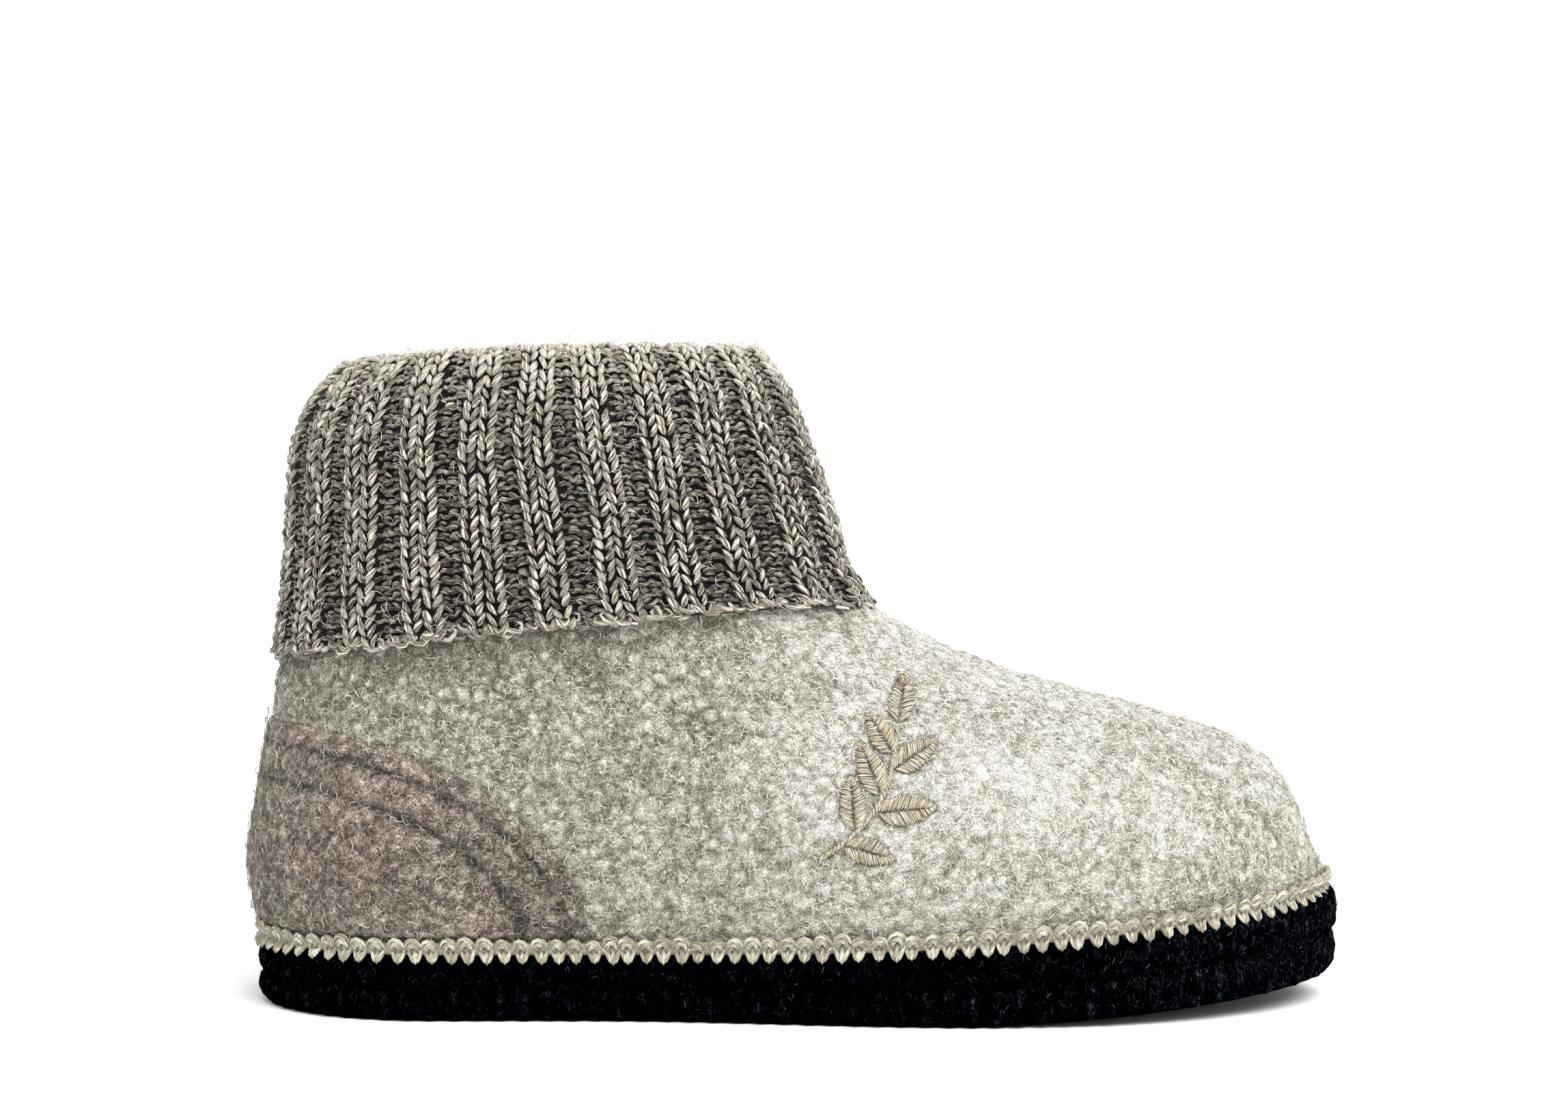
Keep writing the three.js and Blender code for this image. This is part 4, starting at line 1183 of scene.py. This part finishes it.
def make_cuff_base(sheet):
    """The wall under the stitches, one closed body."""
    columns = np.arange(0, SHEET_COLUMNS, 2)
    shares = columns / SHEET_COLUMNS
    distances = np.linspace(0, 1, SHEET_ROWS + 1)[:, None] * sheet.lengths[columns]
    points, normals = sheet.at(np.broadcast_to(shares, distances.shape), distances)
    from_rib = np.abs(np.mod(shares * CUFF_RIBS, 1) - 0.5)
    rib = np.clip((RIB_SHARE / 2 + 0.04 - from_rib) / 0.08, 0, 1)
    room = RIB_FACE * (1 - sheet.thinning[columns] * np.exp(-distances / HEM_SPREAD)) - CUFF_SLIT - 0.2
    outer = points - normals * np.minimum(mix(RIB_DEPTH + 1.2, 1.5, rib), room)[..., None]
    angles, hems, seats = sheet.angles[columns], sheet.hems[columns], sheet.seats[columns]
    top = np.full(len(columns), float(TOP_LEVEL))
    back = []
    for low, high, steps in ((hems, seats, 3), (seats, top, 4)):
        for share in np.linspace(0, 1, steps + 1)[:-1]:
            levels = mix(low, high, share)
            back.append(loft(levels, angles) + CUFF_SLIT * loft_normal(levels, angles))
    back.append(loft(top, angles) + CUFF_SLIT * loft_normal(top, angles))
    for share in np.linspace(0, 1, 5):
        back.append(loft(mix(top, seats, share), angles))
    body = np.concatenate([outer[::-1], np.stack(back)])
    faces = grid_faces(len(body), len(columns), closed_rows=True)
    tones = np.full(body.shape[:2], GAP_PAINTED_SHADE)
    tones[:len(outer)] = np.where(distances > sheet.fold_at(shares) + TURNED_IN, INSIDE_TONE, GAP_PAINTED_SHADE)[::-1]
    new_piece("cuff_wall", body, faces, no_triangles(), VALLEY_YARN, "cuff", "rib_knit",
              {"tone": tones.ravel(), "strand": np.tile((1.0, 0.0, 0.5), (tones.size, 1))})


HEM_LOOPS = 7  # for each rib and its valley


def hem_loops(sheet, rng):
    """The curled loops of the last row, along the hem."""
    steps = 8
    count = CUFF_RIBS * HEM_LOOPS
    share = (np.arange(count) + rng.normal(0, 0.12, count)) / count
    turn = np.linspace(-0.35, 1.35, steps) * math.pi
    size = rng.normal(1, 0.25, (count, 1))
    across = (-0.105 * np.cos(turn) + rng.normal(0, 0.02, (count, steps))) * size
    along = 1.2 + rng.normal(0, 0.45, (count, 1)) - 1.3 * np.sin(turn) * size + rng.normal(0, 0.15, (count, steps))
    lift = -1.6 + 1.0 * np.clip(np.sin(turn), 0, 1) + rng.normal(0, 0.35, (count, 1))
    radii = np.broadcast_to(0.6 * np.sin(math.pi * np.linspace(0.1, 0.9, steps)) ** 0.4, (count, steps))
    made = knit_strands(sheet, share, np.zeros(count), across, along, lift, radii, 6, 0.9, rng)
    return made, rng.normal(0.05, 0.1, count)


FUZZ_COUNT = 1900


def make_cuff_fuzz(sheet):
    """Fine stray fibres over the knit."""
    rng = np.random.default_rng(44)
    share = rng.random(FUZZ_COUNT)
    distance = rng.random(FUZZ_COUNT) * (sheet.fold_at(share) + TURNED_IN)
    places, normals = sheet.at(share, distance)
    paths, radii = curls(places - 0.3 * normals, normals, rng, (2.0, 5.0), (0.8, 3.2), (0.035, 0.06), (0.3, 0.9))
    tones = np.clip(rng.normal(0.6, 0.25, FUZZ_COUNT), 0, 1)
    fibre_piece("cuff_fuzz", paths, radii, normals, WOOL_FIBRE, tones, "rib_knit")


def make_cuff():
    sheet = KnitSheet()
    rng = np.random.default_rng(12)
    make_cuff_base(sheet)
    from_hem = lambda share: np.zeros(len(share))
    over_fold = lambda share: sheet.fold_at(share) + TURNED_IN
    inner_end = lambda share: sheet.length_at(share) - ROW_PITCH
    legs, tones = knit_legs(sheet, rng, from_hem, over_fold, 5)
    strand_piece("cuff_ribs", legs, tones, KNIT_YARN, "rib_knit")
    legs, tones = knit_legs(sheet, rng, over_fold, inner_end, 4, steps=5, thick=1.1)
    strand_piece("cuff_ribs_inside", legs, tones, KNIT_YARN, "rib_knit")
    lowest = lambda share: np.full(len(share), -ROW_PITCH)
    bumps, tones = purl_bumps(sheet, rng, lowest, over_fold, PURL_PLACES, 0.098, 4)
    strand_piece("cuff_valleys", bumps, tones, VALLEY_YARN, "rib_knit")
    loops, tones = hem_loops(sheet, rng)
    strand_piece("cuff_hem", loops, tones, KNIT_YARN, "rib_knit")
    bumps, tones = purl_bumps(sheet, rng, over_fold, inner_end, INNER_PURL_PLACES, 0.15, 4, steps=4)
    strand_piece("cuff_valleys_inside", bumps, tones, VALLEY_YARN, "rib_knit")
    make_cuff_fuzz(sheet)


# Embroidered sprig of leaves, on the outer side

SPRIG_CENTRE = (15.5, 56.7)  # x and height
SPRIG_DENT = 0.35
STEM_START = (-9.5, -18)
STEM_END = (8.5, 12)
STEM_BOW = 5
THREAD_RADIUS = 0.27
THREAD_PITCH = 0.56
# Share of the stem, side, length, half width, angle from the stem in degrees
LEAVES = [
    (0.16, 1, 12, 3.2, 52),
    (0.27, -1, 12.5, 3.3, 52),
    (0.45, 1, 14, 3.6, 50),
    (0.56, -1, 13, 3.4, 48),
    (0.74, 1, 12, 3.2, 44),
    (0.83, -1, 11, 3.0, 42),
    (1.0, 1, 11.5, 3.1, 4),
]


def stem_at(share):
    """Point and heading of the stem, from the sprig's centre."""
    share = np.asarray(share, float)
    along = np.subtract(STEM_END, STEM_START)
    across = np.array([along[1], -along[0]]) / np.hypot(*along)
    point = np.multiply.outer(share, along) + STEM_START + np.multiply.outer(np.sin(math.pi * share), across * STEM_BOW)
    heading = along + np.multiply.outer(math.pi * np.cos(math.pi * share), across * STEM_BOW)
    return point, unit(heading)


def leaf_frames():
    for share, side, length, half, angle in LEAVES:
        root, heading = stem_at(share)
        turn = math.radians(-side * angle)
        axis = np.array([
            heading[0] * math.cos(turn) - heading[1] * math.sin(turn),
            heading[0] * math.sin(turn) + heading[1] * math.cos(turn),
        ])
        yield root + axis * 0.6, axis, length, half


def leaf_half_width(share):
    return np.sin(math.pi * np.clip(share, 0, 1) ** 0.85) ** 0.8


def sprig_cover(points):
    """1 under the embroidery, 0 away from it."""
    flat = np.stack([points[..., 0] - SPRIG_CENTRE[0], points[..., 2] - SPRIG_CENTRE[1]], axis=-1)
    cover = np.zeros(points.shape[:-1])
    for root, axis, length, half in leaf_frames():
        along = (flat - root) @ axis / length
        beside = np.abs((flat - root) @ np.array([-axis[1], axis[0]]))
        inside = (along > -0.03) & (along < 1.03)
        gap = np.where(inside, half * leaf_half_width(along) - beside, -9)
        cover = np.maximum(cover, np.clip(1 + (gap + 0.3) / 0.9, 0, 1))
    stem, _ = stem_at(np.linspace(0, 1, 40))
    away = np.linalg.norm(flat[..., None, :] - stem, axis=-1).min(axis=-1)
    cover = np.maximum(cover, np.clip(2 - away / 0.8, 0, 1))
    return cover * (points[..., 1] < 0)


def outer_side(x, height):
    """Level and angle of the point of the outer side with an x and a height."""
    low = np.zeros(np.shape(x))
    high = np.full(np.shape(x), float(TOP_LEVEL))
    for _ in range(26):
        middle = (low + high) / 2
        behind, short = rows_at(RING_ROWS, middle)[:2]
        back = FEATHER_BACK - behind * FEATHER_LENGTH
        front = FEATHER_FRONT - short * FEATHER_LENGTH
        angle = np.arccos(1 - 2 * np.clip((x - back) / (front - back), 0, 1))
        met = loft(middle, angle)[..., 2] >= height
        high = np.where(met, middle, high)
        low = np.where(met, low, middle)
    return high, angle


def make_sprig():
    """Satin-stitched leaves: threads from each leaf's middle line out to its edge."""
    rng = np.random.default_rng(8)
    starts, ends = [], []
    for root, axis, length, half in leaf_frames():
        across = np.array([-axis[1], axis[0]])
        count = round(length / THREAD_PITCH)
        share = (np.arange(count) + 0.5) / count
        for side in (-1, 1):
            begin = root + np.outer(share * length * 0.96, axis) - side * 0.1 * across
            tip_share = np.minimum(share + 0.16 * (1 - share) + 0.02, 0.995)
            width = half * leaf_half_width(tip_share) + 0.15
            starts.append(begin)
            ends.append(root + np.outer(tip_share * length, axis) + side * width[:, None] * across)
    stem_count = round(math.dist(STEM_START, STEM_END) * 1.05 / THREAD_PITCH)
    share = (np.arange(stem_count) + 0.5) / stem_count
    point, heading = stem_at(share)
    slant = unit(heading + 0.75 * np.stack([-heading[:, 1], heading[:, 0]], axis=-1))
    starts.append(point - slant * 0.95)
    ends.append(point + slant * 0.95)
    starts, ends = np.concatenate(starts), np.concatenate(ends)
    count, steps = len(starts), 6
    starts = starts + rng.normal(0, 0.09, starts.shape)
    ends = ends + rng.normal(0, 0.12, ends.shape)
    share = np.linspace(0, 1, steps)[:, None]
    flat = mix(starts[:, None], ends[:, None], share) + SPRIG_CENTRE
    level, angle = outer_side(flat[..., 0], flat[..., 1])
    normals = loft_normal(level, angle)
    arch = np.sin(math.pi * np.linspace(0.06, 0.94, steps)) ** 0.7
    lift = -SPRIG_DENT - 0.15 + 0.85 * arch + rng.normal(0, 0.05, (count, 1))
    paths = loft(level, angle) + normals * lift[..., None]
    radii = np.broadcast_to(THREAD_RADIUS * np.sin(math.pi * np.linspace(0.15, 0.85, steps)) ** 0.4, (count, steps))
    made = tubes(paths, radii, normals, 5)
    strand_piece("leaf_sprig", made, rng.normal(0, 0.1, count), THREAD, "seam_yarn")


# Light, floor and camera

CAMERA_PLACE = (-0.0022, -1.0, 0.1622)
CAMERA_PITCH = math.degrees(math.atan((811.5 - 470) / 6130))
IMAGE_WIDTH = 2296
FOCAL_PIXELS = 6130
SENSOR_WIDTH = 36


def make_camera():
    camera = bpy.data.cameras.new("camera")
    camera.sensor_width = SENSOR_WIDTH
    camera.sensor_fit = "HORIZONTAL"
    camera.lens = FOCAL_PIXELS / IMAGE_WIDTH * SENSOR_WIDTH
    camera.clip_start = 0.01
    camera.clip_end = 100
    holder = bpy.data.objects.new("camera", camera)
    holder.location = CAMERA_PLACE
    holder.rotation_euler = (math.radians(90 - CAMERA_PITCH), 0, 0)
    bpy.context.scene.collection.objects.link(holder)
    bpy.context.scene.camera = holder


def make_stage():
    scene = bpy.context.scene
    scene.view_settings.view_transform = "Standard"
    scene.view_settings.exposure = 0.5
    world = bpy.data.worlds.new("studio")
    world.use_nodes = True
    background = world.node_tree.nodes["Background"]
    background.inputs["Color"].default_value = (1, 1, 1, 1)
    background.inputs["Strength"].default_value = 0.74
    scene.world = world
    key = bpy.data.lights.new("key", "SUN")
    key.energy = 2.4
    key.angle = math.radians(50)
    holder = bpy.data.objects.new("key", key)
    toward_light = Vector((0.35, -0.55, 0.9))
    holder.rotation_euler = toward_light.to_track_quat("Z", "Y").to_euler()
    scene.collection.objects.link(holder)
    size = 12
    mesh = bpy.data.meshes.new("floor")
    mesh.from_pydata(
        [(-size, -size, 0), (size, -size, 0), (size, size, 0), (-size, size, 0)], [], [(0, 1, 2, 3)])
    floor_finish = Finish("studio_floor", Roughness=0.9, Specular_IOR_Level=0.1)
    mesh.materials.append(floor_finish.finish(floor_finish.ramp(
        floor_finish.noise(400, 2.0), [(0.0, (246, 246, 245)), (1.0, (250, 250, 249))])))
    floor = bpy.data.objects.new("floor", mesh)
    scene.collection.objects.link(floor)


make_camera()
make_stage()
upper_points, upper_normals = make_upper()
make_upper_curls(upper_points, upper_normals)
counter_points, counter_normals = make_heel_counter()
make_counter_curls(counter_points, counter_normals)
make_sole_lint(np.concatenate([make_outsole(), make_midsole()]))
make_insole()
make_seam()
make_sprig()
make_cuff()
